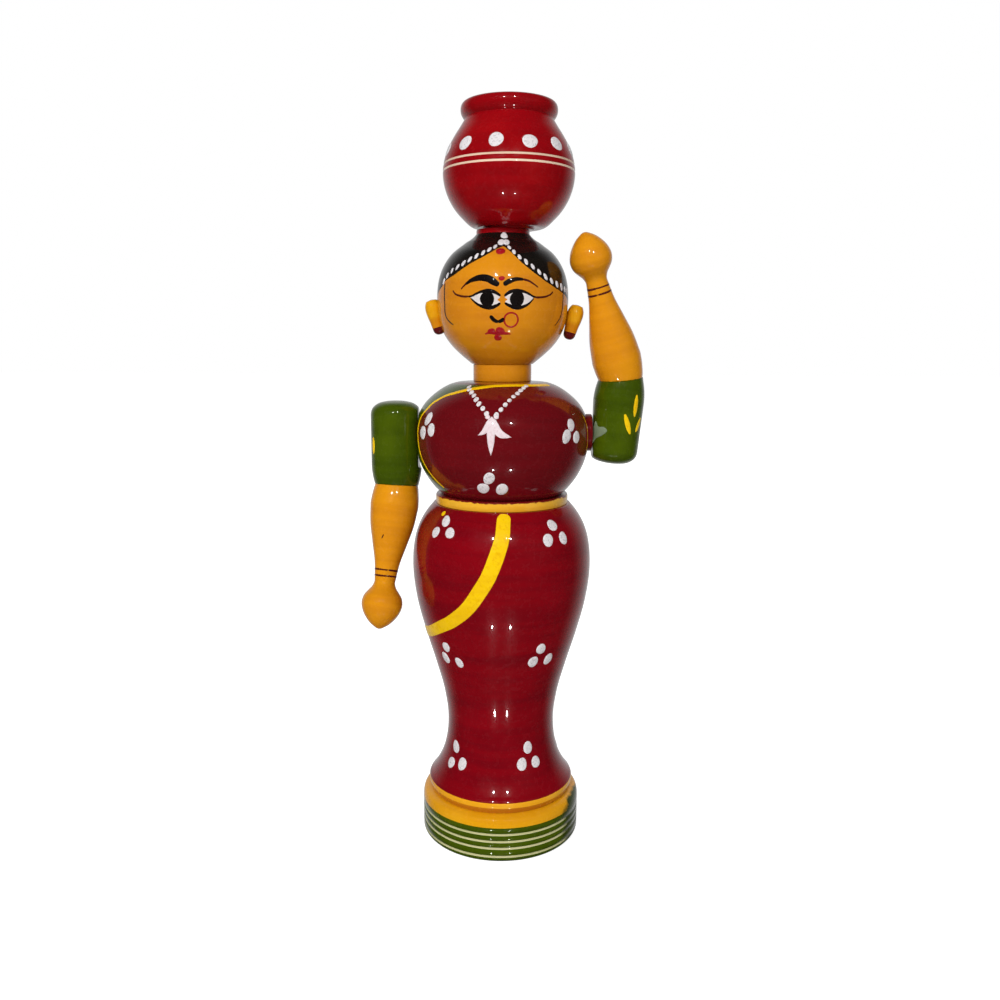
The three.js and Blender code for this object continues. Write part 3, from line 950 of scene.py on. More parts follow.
class Enamel:
    """Strokes, dots and filled shapes of paint on one turning, gathered in one mesh.

    Attributes:
        SINK: how far the paint's rim goes under the skin.
        BRUSH: (place, fullness) across a stroke.
        POOL: (share of the border, fullness) from the rim of a filled shape inwards.
        BEAD: the same for a dot.
        RIM: fullness of the first row inside the rim of a panel or cap.
        STEP: distance between the rows of a stroke.
        DOT_SIDES: how many sides a dot has.
        PANEL_COLUMNS: how many columns of faces a panel has.
        CAP_COLUMNS: how many columns of faces a cap has.
    """

    SINK = -0.04
    RIM = 0.7
    STEP = 0.45
    DOT_SIDES = 20
    PANEL_COLUMNS = 72
    CAP_COLUMNS = 220
    BRUSH = ((-1, 0.0), (-0.82, 0.62), (-0.45, 0.95), (0, 1), (0.45, 0.95), (0.82, 0.62), (1, 0.0))
    POOL = ((1, 0.0), (0.95, 0.6), (0.88, 0.92), (0.7, 1), (0.48, 1), (0.24, 1))
    BEAD = ((1, 0.0), (0.93, 0.45), (0.8, 0.78), (0.55, 0.96), (0.28, 1))

    def __init__(self, turning: Turning) -> None:
        """Starts an empty layer of paint."""
        self.turning, self.surface = turning, turning.surface
        self.mesh = bmesh.new()

    def _unroll(self, path: Path) -> tuple[float, list[Point]]:
        """Lays a path out on a flat strip.

        Args:
            path: its (azimuth, height) places.

        Returns:
            The strip's radius, and each place as (arc, distance along the outline).
        """
        alongs = [self.surface.along(height) for _, height in path]
        scale = float(np.mean([self.surface.radius(along) for along in alongs]))
        return scale, [(math.radians(azimuth) * scale, along) for (azimuth, _), along in zip(path, alongs)]

    def _raised(self, azimuth: float, along: float, lift: float, share: float) -> bmesh.types.BMVert:
        """Adds a corner at a share of the paint's thickness.

        Args:
            azimuth: degrees from the front.
            along: distance along the outline.
            lift: how thick the paint is.
            share: 0 under the skin and 1 on the paint's top.

        Returns:
            The corner.
        """
        height = self.SINK + (lift - self.SINK) * share
        return self.mesh.verts.new(self.surface.point(azimuth, along, height))

    def _join(self, rows: Sequence[Row], around: bool, closed: bool = False) -> None:
        """Joins rows of corners with faces.

        Args:
            rows: the rows.
            around: whether each row closes on itself.
            closed: whether the last row joins the first.
        """
        for lower, upper in zip(rows, [*rows[1:], rows[0]] if closed else rows[1:]):
            join_rows(self.mesh, lower, upper, around)

    @staticmethod
    def _fade(near: float, length: float, width: float, blunt: bool) -> float:
        """Finds how full a stroke is near one of its ends.

        Args:
            near: distance from the end.
            length: the stroke's length.
            width: the stroke's width there.
            blunt: whether its ends are rounded, and not drawn to a point.

        Returns:
            A share from 0 to 1.
        """
        share = min(near / (max(width / 2, 0.3) if blunt else max(length * 0.12, 0.6)), 1.0)
        return math.sqrt(1 - (1 - share) ** 2) if blunt else share

    def stroke(
        self, path: Path, widths: Sequence[float], lift: float, blunt: bool = True, closed: bool = False
    ) -> None:
        """Draws a brush stroke.

        Args:
            path: (azimuth, height) places along it.
            widths: its widths, spread evenly along it.
            lift: how thick the paint is.
            blunt: whether its ends are rounded, and not drawn to a point.
            closed: whether it is a ring.
        """
        scale, flat = self._unroll(path)
        length = sum(math.dist(p, q) for p, q in zip(flat, flat[1:]))
        count = max(8, math.ceil(length / self.STEP))
        line = through(flat, count, closed)
        rows = []
        for i, here in enumerate(line):
            before = line[i - 1 if i or closed else 0]
            after = line[(i + 1) % count if closed else min(i + 1, count - 1)]
            radius = max(self.surface.radius(here[1]), 1.0)
            way = (after - before) * (radius / scale, 1.0)
            way = way / (np.linalg.norm(way) or 1.0)
            share = i / (count if closed else count - 1)
            width = float(np.interp(share, np.linspace(0, 1, len(widths)), widths))
            full = 1.0 if closed else self._fade(min(share, 1 - share) * length, length, width, blunt)
            half = width * max(full, 0.03) / 2
            rows.append([
                self._raised(
                    math.degrees(here[0] / scale + way[1] * half * place / radius),
                    here[1] - way[0] * half * place,
                    lift,
                    full * up,
                )
                for place, up in self.BRUSH
            ])
        self._join(rows, False, closed)

    def strokes(self, table: Sequence[Stroke], lift: float, blunt: bool = True) -> None:
        """Draws several strokes, each a path and its widths."""
        for path, widths in table:
            self.stroke(path, widths, lift, blunt)

    def shape(self, outline: Path, lift: float) -> None:
        """Fills a closed curve with paint.

        Args:
            outline: (azimuth, height) places on it, in order.
            lift: how thick the paint is.
        """
        scale, flat = self._unroll(outline)
        border = through(flat, max(36, 6 * len(flat)), closed=True)
        centre = np.mean(np.array(border), axis=0)
        rings = []
        for share, up in self.POOL:
            places = [centre + (spot - centre) * share for spot in border]
            rings.append([self._raised(math.degrees(arc / scale), along, lift, up) for arc, along in places])
        middle = self._raised(math.degrees(centre[0] / scale), centre[1], lift, 1)
        self._join([*rings, [middle] * len(border)], True)

    def dot(
        self, azimuth: float, height: float, wide: float, tall: float, lift: float, tilt: float = 0.0
    ) -> None:
        """Sets down one dot or bead of paint.

        Args:
            azimuth: where its middle is, in degrees.
            height: where its middle is.
            wide: its width.
            tall: its height.
            lift: how far it stands up.
            tilt: how far it leans to +X, in degrees.
        """
        along = self.surface.along(height)
        radius = max(self.surface.radius(along), 1.0)
        lean, phase = math.radians(tilt), random.uniform(0, math.tau)
        rings = []
        for share, up in self.BEAD:
            ring = []
            for angle in (math.tau * k / self.DOT_SIDES for k in range(self.DOT_SIDES)):
                wobble = 1 + 0.05 * math.sin(2 * angle + phase) + 0.025 * math.sin(3 * angle - phase)
                x = 0.5 * wide * share * wobble * math.cos(angle)
                y = 0.5 * tall * share * wobble * math.sin(angle)
                u, v = x * math.cos(lean) + y * math.sin(lean), y * math.cos(lean) - x * math.sin(lean)
                ring.append(self._raised(azimuth + math.degrees(u / radius), along + v, lift, up))
            rings.append(ring)
        self._join([*rings, [self._raised(azimuth, along, lift, 1)] * self.DOT_SIDES], True)

    def sprig(self, places: Path, size: float) -> None:
        """Sets down a sprig of dots, each a little unlike the next.

        Args:
            places: (azimuth, height) of each dot.
            size: the width of a dot.
        """
        for azimuth, height in places:
            wide, tall = size * random.uniform(0.86, 1.04), size * random.uniform(1.0, 1.2)
            self.dot(azimuth, height, wide, tall, 0.22, random.uniform(-25, 25))

    def beads(self, path: Path, count: int, wide: float, tall: float, lift: float, tilt: float) -> None:
        """Sets beads at even distances along a line, a little unequal as by hand.

        Args:
            path: (azimuth, height) places along the line.
            count: how many beads there are.
            wide: their width.
            tall: their height.
            lift: how far they stand up.
            tilt: how far they lean to +X, in degrees.
        """
        scale, flat = self._unroll(path)
        for arc, along in through(flat, count):
            size = random.uniform(0.88, 1.1)
            lean = tilt + random.uniform(-6, 6)
            height = self.surface.height(along)
            self.dot(math.degrees(arc / scale), height, wide * size, tall * size, lift, lean)

    def panel(self, edges: Sequence[Triple], lift: float) -> None:
        """Fills between two edges that are given at each height.

        Args:
            edges: (height, first azimuth, second azimuth) from low to high.
            lift: how thick the paint is.
        """
        heights, firsts, seconds = zip(*edges)
        marks = [self.surface.along(height) for height in heights]
        levels = np.linspace(marks[0], marks[-1], max(6, math.ceil((marks[-1] - marks[0]) / 0.5)))
        columns, rows = self.PANEL_COLUMNS, []
        for i, along in enumerate(levels):
            first, second = np.interp(along, marks, firsts), np.interp(along, marks, seconds)
            row = []
            for k in range(columns + 1):
                edge = min(i, len(levels) - 1 - i, k, columns - k)
                up = (self.SINK, self.RIM * lift)[edge] if edge < 2 else lift
                row.append(self._raised(first + (second - first) * k / columns, along, up, 1))
            rows.append(row)
        self._join(rows, False)

    def cap(self, lower: Path, top: float, lift: float) -> None:
        """Covers a turning all round from an uneven lower edge to a height.

        Args:
            lower: (azimuth, height) of the lower edge, once round.
            top: the height of the upper edge.
            lift: how thick the paint is.
        """
        angles, heights = zip(*lower)
        peak = self.surface.along(top)
        azimuths = [-180 + 360 * k / self.CAP_COLUMNS for k in range(self.CAP_COLUMNS)]
        starts = [self.surface.along(float(np.interp(a, angles, heights, period=360))) for a in azimuths]
        rows = []
        for share in (0.0, 0.012, 0.03, *np.linspace(0.06, 1, 34)):
            up = {0.0: self.SINK, 0.012: self.RIM * lift}.get(share, lift)
            rows.append([self._raised(a, s + (peak - s) * share, up, 1) for a, s in zip(azimuths, starts)])
        self._join(rows, True)

    def build(
        self, painter: Painter, name: str, finish: Finish, shape: Callable[[Mesh], None] | None = None
    ) -> bpy.types.Object:
        """Makes the paint an object that moves with its turning.

        Args:
            painter: makes the materials.
            name: the piece's name.
            finish: the paint's finish.
            shape: an edit of the bmesh before it becomes an object.

        Returns:
            The piece.
        """
        bmesh.ops.recalc_face_normals(self.mesh, faces=self.mesh.faces[:])
        self._face_outwards()
        if shape is not None:
            shape(self.mesh)
        piece = make_object(name, self.mesh, [painter.material(finish)])
        piece.matrix_world = self.turning.place
        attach(piece, self.turning.body.value)
        LOG.info("%s is painted on %s", name, self.turning.node)
        return piece

    def _face_outwards(self) -> None:
        """Turns round each face that looks towards the axis."""
        self.mesh.normal_update()
        wrong = []
        for face in self.mesh.faces:
            middle = face.calc_center_median()
            along = self.surface.along(middle.z / MM)
            azimuth = math.degrees(math.atan2(middle.x, -middle.y))
            outward = self.surface.point(azimuth, along, 1.0) - self.surface.point(azimuth, along, 0.0)
            if face.normal.dot(outward) < 0:
                wrong.append(face)
        bmesh.ops.reverse_faces(self.mesh, faces=wrong)


def triad(azimuth: float, height: float, turn: float = 6.8) -> Path:
    """The three places of a sprig: one dot above, two below."""
    return (azimuth - 0.3, height + 3.0), (azimuth - turn, height - 2.2), (azimuth + turn, height - 1.8)


def standing(node: str, x: float = 0.0) -> Matrix:
    """The frame of an upright turning, at the foot of its plain solid."""
    return Matrix.Translation((x, 0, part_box(node)[0].z))


def scored(ground: Finish, line: Finish, heights: Sequence[float], width: float) -> list[Band]:
    """Crosses a ground colour with painted lines.

    Args:
        ground: the ground's finish.
        line: the lines' finish.
        heights: where the lines are.
        width: how wide they are.

    Returns:
        The bands from the foot up.
    """
    bands = [(-1.0, ground)]
    for height in heights:
        bands += [(height - width / 2, line), (height + width / 2, ground)]
    return bands


# ---------------------------------------------------------------- sub-assemblies


@dataclass
class Base:
    """The plinth: green drum with scored cream lines, a yellow shoulder and a worn left flank."""

    lines: Sequence[float] = (2.7, 6.2, 9.1, 12.1)
    line_width: float = 0.92
    shoulder: float = 15.0
    flank: float = math.radians(72)
    worn_from: float = 31.2

    def build(self, painter: Painter) -> None:
        """Makes the plinth.

        Args:
            painter: makes the materials.
        """
        flank = (math.sin(self.flank), -math.cos(self.flank), 0.0)
        worn = (Patch((0.035, 0.05, 0.002), flank, self.worn_from, 1.2, 3.0, 260),)
        drum = replace(GREEN, name="plinth_green", patches=worn)
        cream = Finish("plinth_cream", CREAM.colour, CREAM.deep, CREAM.pale, patches=worn)
        bands = scored(drum, cream, self.lines, self.line_width)
        bands.append((self.shoulder, replace(YELLOW, name="plinth_yellow", patches=worn)))
        plinth = Turning(
            "base_plinth", standing("base_plinth"), Body.DOLL, Slot.GREEN, bands,
            lines=self.lines, line_width=self.line_width,
        )
        plinth.build(painter, "plinth")


@dataclass
class Skirt:
    """The skirt with its lip, its sprigs of three dots and its yellow border."""

    cove: float = 2.5
    lip: float = 4.6
    dot: float = 4.6
    front_sprigs: Sequence[Path] = (
        ((-44.2, 118.0), (-49.8, 113.5), (-36.8, 114.2)),
        ((37.8, 117.1), (31.2, 112.1), (43.9, 112.0)),
        ((-45.3, 66.9), (-49.3, 61.6), (-34.8, 61.2)),
        ((30.0, 68.1), (25.1, 62.7), (39.1, 62.6)),
        ((-53.9, 21.3), (-56.2, 14.4), (-40.8, 15.9)),
        ((29.3, 23.8), (21.4, 17.6), (37.2, 17.3)),
    )
    other_sprigs: Path = (
        (118.0, 114.5), (-124.0, 113.0), (104.0, 62.5), (176.0, 64.0),
        (-112.0, 62.0), (108.0, 18.0), (-170.0, 19.0), (-118.0, 18.5),
    )
    border: Path = (
        (1.9, 122.1), (1.0, 117.8), (0.2, 113.6), (-3.4, 106.5), (-8.1, 98.9),
        (-13.7, 92.8), (-20.5, 86.7), (-28.8, 81.9), (-41.2, 77.1), (-67.0, 70.6),
        (-95.0, 69.0), (-125.0, 74.0), (-150.0, 86.0), (-168.0, 102.0), (-180.0, 122.1),
    )
    border_widths: Sequence[float] = (5.4, 6.3, 6.2, 5.6, 4.8, 4.6, 4.2, 4.2, 4.0, 4.4, 5.0)
    border_lift: float = 0.14
    stray_drop: Sequence[float] = (-51.0, 120.3, 2.0, 2.4, 0.3)

    def build(self, painter: Painter) -> None:
        """Makes the skirt and its paint.

        Args:
            painter: makes the materials.
        """
        # the lowest band is painted shade: the yellow cove in its groove's shadow, coloured brown-orange
        bands = [(-1.0, COVE_PAINTED_SHADE), (self.cove, PALE_YELLOW), (self.lip, CRIMSON)]
        skirt = Turning("skirt", standing("skirt"), Body.DOLL, Slot.CRIMSON, bands)
        skirt.build(painter, "skirt_turning")
        border = Enamel(skirt)
        border.stroke(self.border, self.border_widths, self.border_lift)
        border.dot(*self.stray_drop)
        border.build(painter, "skirt_border", ENAMEL_YELLOW)
        dots = Enamel(skirt)
        for places in (*self.front_sprigs, *(triad(*spot) for spot in self.other_sprigs)):
            dots.sprig(places, self.dot)
        dots.build(painter, "skirt_dots", WHITE)


@dataclass
class Waist:
    """The yellow belt disc, with maroon lac run over its upper edge."""

    run_from: float = 3.3

    def build(self, painter: Painter) -> None:
        """Makes the belt.

        Args:
            painter: makes the materials.
        """
        run = Patch((0.16, 0.006, 0.006), (0.0, 0.0, 1.0), self.run_from, 0.35, 1.9, 420)
        belt = Finish("belt_yellow", (0.86, 0.45, 0.03), YELLOW.deep, (0.90, 0.60, 0.14), patches=(run,))
        collar = Turning("waist_collar", standing("waist_collar"), Body.DOLL, Slot.YELLOW, [(-1.0, belt)])
        collar.build(painter, "belt")


@dataclass
class Torso:
    """The torso with blouse, sari edge, necklace, pendant and sprigs."""

    dot: float = 4.9
    shoulder: float = 24.5
    pocket: float = 12.0
    sprigs: Sequence[Path] = (
        ((-57.4, 31.2), (-61.8, 25.7), (-51.6, 27.2)),
        ((49.8, 29.4), (44.4, 25.2), (54.6, 24.5)),
        ((-8.8, 9.9), (-13.9, 5.7), (0.0, 5.4)),
        triad(128.0, 27.0, 5.0),
    )
    blouse: Sequence[Triple] = (
        (2.0, -50.0, -118.0), (4.5, -52.5, -120.0), (8.0, -60.0, -123.0), (15.0, -68.0, -128.0),
        (23.0, -71.2, -138.0), (28.0, -71.3, -146.0), (31.7, -70.4, -153.0), (34.4, -66.0, -160.0),
        (37.3, -62.0, -168.0), (39.8, -54.3, -176.0), (41.0, -46.3, -181.0), (42.4, -34.6, -188.0),
        (43.5, -19.0, -196.0), (44.2, -8.0, -204.0),
    )
    front_edge: Path = (
        (64.0, 44.0), (30.0, 44.15), (8.0, 44.15), (-8.0, 43.95), (-20.0, 43.4), (-34.6, 42.4),
        (-46.3, 41.0), (-54.3, 39.8), (-62.0, 37.3), (-66.0, 34.4), (-70.4, 31.7), (-71.5, 28.0),
        (-71.2, 23.0), (-68.0, 15.0), (-60.0, 8.0), (-52.5, 4.0),
    )
    back_edge: Path = (
        (-118.0, 2.5), (-123.0, 8.0), (-128.0, 15.0), (-138.0, 23.0),
        (-153.0, 31.7), (-168.0, 37.3), (-188.0, 42.4), (-205.0, 44.2),
    )
    side_line: Path = ((70.0, 33.5), (74.0, 28.5), (76.0, 22.5), (75.5, 16.0))
    front_widths: Sequence[float] = (2.6, 2.8, 2.6, 2.4, 1.7, 1.4, 1.1, 0.9)
    back_widths: Sequence[float] = (1.2, 1.5, 1.5)
    side_widths: Sequence[float] = (0.3, 0.6, 0.3)
    cloth_lift: float = 0.06
    edge_lift: float = 0.12
    right_string: Path = (
        (-36.0, 43.4), (-33.0, 42.6), (-26.0, 41.1), (-21.6, 39.6),
        (-18.5, 38.2), (-15.3, 36.9), (-12.5, 35.5), (-10.4, 34.2),
    )
    left_string: Path = (
        (25.9, 43.8), (19.0, 42.8), (12.9, 41.3), (7.6, 39.8),
        (4.2, 38.4), (0.5, 36.6), (-2.2, 34.9), (-3.9, 33.8),
    )
    middle_prong: Stroke = (((-6.7, 33.4), (-6.9, 29.0), (-6.9, 24.0), (-6.9, 18.6)), (2.4, 3.4, 2.6, 0.4))
    side_prongs: Sequence[Stroke] = (
        (((-5.9, 33.0), (-8.4, 30.0), (-11.5, 27.6), (-15.2, 26.3)), (2.2, 3.2, 2.2, 0.3)),
        (((-7.2, 33.0), (-4.2, 29.2), (-0.6, 26.8), (6.0, 25.7)), (2.2, 3.4, 2.8, 0.3)),
    )
    pendant_drops: Sequence[Sequence[float]] = ((-9.4, 33.0, 1.9, 1.8), (-3.9, 33.1, 1.9, 1.8))

    def build(self, painter: Painter) -> None:
        """Makes the torso and its paint.

        Args:
            painter: makes the materials.
        """
        torso = Turning("torso", standing("torso"), Body.DOLL, Slot.MAROON, [(-1.0, MAROON)])
        torso.build(painter, "torso_turning", self._plane_pocket)
        blouse = Enamel(torso)
        blouse.panel(self.blouse, self.cloth_lift)
        blouse.build(painter, "blouse", GREEN, self._plane_paint)
        edge = Enamel(torso)
        edge.stroke(self.front_edge, self.front_widths, self.edge_lift)
        edge.stroke(self.back_edge, self.back_widths, self.edge_lift)
        edge.stroke(self.side_line, self.side_widths, self.cloth_lift, blunt=False)
        edge.build(painter, "sari_edge", ENAMEL_YELLOW, self._plane_paint)
        white = Enamel(torso)
        for places in self.sprigs:
            white.sprig(places, self.dot)
        white.beads(self.right_string, 8, 2.0, 2.6, 0.32, 0)
        white.beads(self.left_string, 9, 1.9, 2.3, 0.32, 30)
        white.build(painter, "torso_dots", WHITE)
        pendant = Enamel(torso)
        pendant.stroke(*self.middle_prong, 0.2, blunt=False)
        pendant.strokes(self.side_prongs, 0.18, blunt=False)
        for drop in self.pendant_drops:
            pendant.dot(*drop, 0.3)
        pendant.build(painter, "pendant", PENDANT_WHITE)

    def _plane_pocket(self, mesh: Mesh, lift: float = 0.0) -> None:
        """Planes the flat on which the hanging arm turns.

        Args:
            mesh: the torso or paint on it, in the torso's own frame.
            lift: how far the paint stands over the flat.
        """
        low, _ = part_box("right_shoulder_boss")
        flat = low.x + (0.08 - lift) * MM
        for vert in mesh.verts:
            if math.hypot(vert.co.y, vert.co.z - self.shoulder * MM) < self.pocket * MM:
                vert.co.x = max(vert.co.x, flat)

    def _plane_paint(self, mesh: Mesh) -> None:
        """Planes paint that runs over the flat."""
        self._plane_pocket(mesh, 0.05)


@dataclass
class Head:
    """The neck, and the head with its hair, face, pearls and ears."""

    crown: float = 49.8
    hairline: Path = (
        (-180.0, 6.0), (-150.0, 7.0), (-120.0, 12.0), (-98.0, 21.0), (-80.0, 26.5), (-66.0, 29.3),
        (-59.0, 31.5), (-46.8, 33.4), (-31.7, 37.2), (-18.1, 40.1), (-6.7, 42.8), (0.6, 43.9),
        (4.0, 42.9), (9.2, 41.2), (18.4, 37.1), (28.9, 33.6), (39.4, 30.8), (51.7, 28.5),
        (63.6, 26.9), (78.0, 25.0), (96.0, 20.0), (120.0, 12.0), (150.0, 7.0),
    )
    right_pearls: Path = (
        (-9.0, 43.7), (-20.4, 41.4), (-34.0, 38.8), (-45.1, 36.4), (-55.0, 34.4), (-62.5, 31.4),
    )
    left_pearls: Path = ((7.0, 43.4), (15.4, 40.0), (27.4, 36.3), (38.2, 33.0), (52.3, 30.4), (75.0, 28.0))
    parting_pearls: Sequence[Sequence[float]] = (
        (2.0, 48.3, 2.7, 4.4), (-2.4, 45.5, 2.9, 4.2), (4.4, 45.5, 2.8, 4.0),
    )
    eyes: Sequence[Path] = (
        (
            (-28.0, 24.9), (-21.0, 26.2), (-12.3, 27.0), (-5.5, 26.3), (-1.8, 25.0),
            (-4.2, 23.9), (-1.8, 23.0), (-6.0, 21.9), (-12.0, 21.4), (-20.5, 22.4),
        ),
        (
            (26.5, 24.7), (20.0, 26.3), (12.0, 27.0), (6.0, 26.5), (1.2, 25.0),
            (3.6, 24.0), (1.4, 23.2), (6.5, 21.9), (12.7, 21.4), (20.5, 22.4),
        ),
    )
    irises: Sequence[Sequence[float]] = ((-13.0, 24.25, 6.0, 6.9), (11.8, 24.25, 6.1, 6.9))
    lids_and_brows: Sequence[Stroke] = (
        (
            ((-30.5, 25.2), (-26.4, 25.4), (-19.5, 26.7), (-12.3, 27.3), (-6.4, 26.6), (-1.6, 25.3)),
            (0.7, 0.9, 1.1, 1.5, 1.5, 0.9),
        ),
        (
            ((-28.0, 24.8), (-21.0, 22.3), (-12.0, 21.1), (-5.5, 21.8), (-1.7, 22.9)),
            (0.5, 0.9, 1.5, 1.6, 0.9),
        ),
        (
            ((1.0, 25.2), (5.6, 26.7), (11.7, 27.3), (18.8, 26.8), (26.0, 25.3), (29.0, 25.1)),
            (0.9, 1.5, 1.5, 1.1, 0.9, 0.8),
        ),
        (((1.3, 22.9), (6.0, 21.8), (12.7, 21.1), (20.8, 22.3), (26.7, 24.7)), (0.9, 1.6, 1.5, 0.9, 0.5)),
        (
            ((-33.5, 29.6), (-27.5, 31.1), (-20.0, 32.0), (-13.0, 31.7), (-7.5, 30.4), (-3.0, 29.1)),
            (0.9, 1.7, 2.5, 2.9, 2.9, 2.0),
        ),
        (((0.2, 29.3), (5.5, 30.7), (11.5, 31.5), (18.0, 31.4)), (2.0, 2.0, 1.6, 1.0)),
    )
    nostrils: Sequence[Stroke] = (
        (((-10.9, 18.3), (-7.4, 16.6), (-3.2, 15.8)), (1.5, 1.6, 1.2)),
        (((-4.2, 15.8), (-1.2, 16.4), (2.1, 17.2)), (1.2, 1.6, 1.6)),
    )
    side_locks: Sequence[Stroke] = (
        (
            ((-60.2, 30.8), (-59.8, 26.2), (-59.6, 22.5), (-59.8, 19.1), (-56.6, 16.8), (-49.2, 14.8)),
            (1.0, 0.9, 0.9, 0.5),
        ),
        (((63.8, 27.2), (63.8, 23.9), (63.0, 21.0), (60.5, 17.8), (54.0, 14.7)), (1.0, 0.9, 0.8, 0.4)),
    )
    fine_lines: Sequence[Stroke] = (
        (((-37.8, 27.8), (-35.8, 28.7), (-32.5, 29.9), (-29.0, 30.8)), (0.5, 0.8, 1.2)),
        (((17.0, 31.5), (22.3, 30.9), (26.5, 29.9), (31.2, 28.6)), (1.0, 0.8, 0.5)),
        (((-47.4, 27.8), (-44.0, 26.4), (-39.5, 25.7), (-34.5, 25.3), (-29.5, 25.2)), (0.7, 0.8, 0.9)),
        (((28.0, 25.0), (33.5, 25.1), (39.0, 25.5), (43.8, 26.3), (47.6, 27.5)), (0.9, 0.8, 0.65)),
    )
    lips: Stroke = (
        ((-17.0, 11.4), (-12.5, 12.0), (-8.0, 11.9), (-4.0, 11.8), (1.5, 11.8), (8.0, 11.5)),
        (0.5, 1.2, 1.5, 1.5, 1.3, 0.4),
    )
    red_dots: Sequence[Sequence[float]] = (
        (-10.4, 12.5, 3.2, 2.3, 0.16, -15),
        (-2.2, 12.8, 3.6, 2.7, 0.16, 10),
        (-4.6, 10.2, 3.1, 2.7, 0.2),
        (-1.0, 31.7, 2.4, 1.8, 0.12),
        (-2.6, 41.9, 3.5, 3.5, 0.25, 20),
    )
    nose_ring: Point = (7.1, 16.7)
    nose_ring_radius: float = 2.6
    face_radius: float = 25.0

    def build(self, painter: Painter) -> None:
        """Makes the head and all that is painted on it or glued to it.

        Args:
            painter: makes the materials.
        """
        neck = Turning("neck", standing("neck"), Body.DOLL, Slot.SKIN, [(-1.0, SKIN)])
        neck.build(painter, "neck_turning")
        head = Turning("head", standing("head"), Body.DOLL, Slot.SKIN, [(-1.0, SKIN), (self.crown, POT_RED)])
        head.build(painter, "head_turning")
        hair = Enamel(head)
        hair.cap(self.hairline, self.crown, 0.07)
        hair.build(painter, "hair", BLACK)
        pearls = Enamel(head)
        pearls.beads(self.right_pearls, 10, 1.4, 2.8, 0.3, 16)
        pearls.beads(self.left_pearls, 12, 1.6, 2.8, 0.3, -14)
        for pearl in self.parting_pearls:
            pearls.dot(*pearl, 0.42)
        pearls.build(painter, "hair_pearls", WHITE)
        self._face(head, painter)
        for side in Side:
            self._ear(side, head, painter)

    def _face(self, head: Turning, painter: Painter) -> None:
        """Paints the eyes, brows, nose, lips and marks.

        Args:
            head: the head.
            painter: makes the materials.
        """
        white = Enamel(head)
        for outline in self.eyes:
            white.shape(outline, 0.05)
        white.build(painter, "eye_whites", EYE_WHITE)
        ink = Enamel(head)
        for iris in self.irises:
            ink.dot(*iris, 0.1)
        ink.strokes(self.lids_and_brows, 0.1)
        ink.strokes(self.nostrils, 0.12)
        ink.strokes(self.side_locks, 0.07)
        ink.build(painter, "face_ink_lines", INK)
        brown = Enamel(head)
        brown.strokes(self.fine_lines, 0.08)
        brown.build(painter, "face_fine_lines", BROWN_INK)
        azimuth, height = self.nose_ring
        around = []
        for angle in (math.tau * k / 12 for k in range(12)):
            aside = math.degrees(self.nose_ring_radius * math.cos(angle) / self.face_radius)
            around.append((azimuth + aside, height + self.nose_ring_radius * math.sin(angle)))
        ring = Enamel(head)
        ring.stroke(around, (0.72,), 0.1, closed=True)
        ring.build(painter, "nose_ring", LIP_RED)
        red = Enamel(head)
        red.stroke(*self.lips, 0.12)
        for dot in self.red_dots:
            red.dot(*dot)
        red.build(painter, "lips_and_marks", LIP_RED)

    @staticmethod
    def _ear(side: Side, head: Turning, painter: Painter) -> None:
        """Makes one ear, a turned drop that leans out at its top.

        Args:
            side: which ear.
            head: the head.
            painter: makes the materials.
        """
        reach, height = {Side.LEFT: (2.1, 16.5), Side.RIGHT: (0.7, 18.3)}[side]
        name = f"{side.value}_ear"
        cheek = max(r for r, _ in head.outline)
        outward = Matrix.Rotation(0.0 if side is Side.LEFT else math.pi, 4, "Z")
        seat = Matrix.Translation(((cheek + reach) * MM, 0, height * MM))
        tilt = Matrix.Rotation(math.radians(15.5), 4, "Y")
        # painted shade: the lower part of the ear's yellow turns a darker orange, where the drop faces down
        shade = Patch((0.66, 0.23, 0.004), (0.0, 0.0, -1.0), 0.4, 1.6, 1.2, 400)
        bands = [(-20.0, EAR_DROP), (-4.1, replace(YELLOW, name=f"{name}_yellow", patches=(shade,)))]
        ear = Turning(
            name, head.place @ outward @ seat @ tilt, Body.DOLL, Slot.SKIN, bands,
            toward=X_AXIS.copy(), sides=56, step=0.4,
        )
        ear.build(painter, f"{name}_turning")


@dataclass
class Pot:
    """The water pot: red, with two cream lines and a ring of white dots."""

    lines: Sequence[float] = (21.7, 24.2)
    line_width: float = 0.75
    dots: Sequence[float] = (-43, -12, 18, 47, 75, 104, 134, 163, 193, 223, 253, 285)
    dot_height: float = 29.0

    def build(self, painter: Painter) -> None:
        """Makes the pot and its dots.

        Args:
            painter: makes the materials.
        """
        low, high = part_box("pot")
        pot = Turning(
            "pot", standing("pot", (low.x + high.x) / 2), Body.DOLL, Slot.RED,
            scored(POT_RED, POT_CREAM, self.lines, self.line_width),
            hollow=True, lines=self.lines, line_width=self.line_width, line_depth=0.08,
        )
        pot.build(painter, "pot_turning")
        ring = Enamel(pot)
        for azimuth in self.dots:
            height = self.dot_height + random.uniform(-0.3, 0.3)
            ring.dot(azimuth, height, 5.9, 5.7, 0.22, random.uniform(-20, 20))
        ring.build(painter, "pot_dots", WHITE)


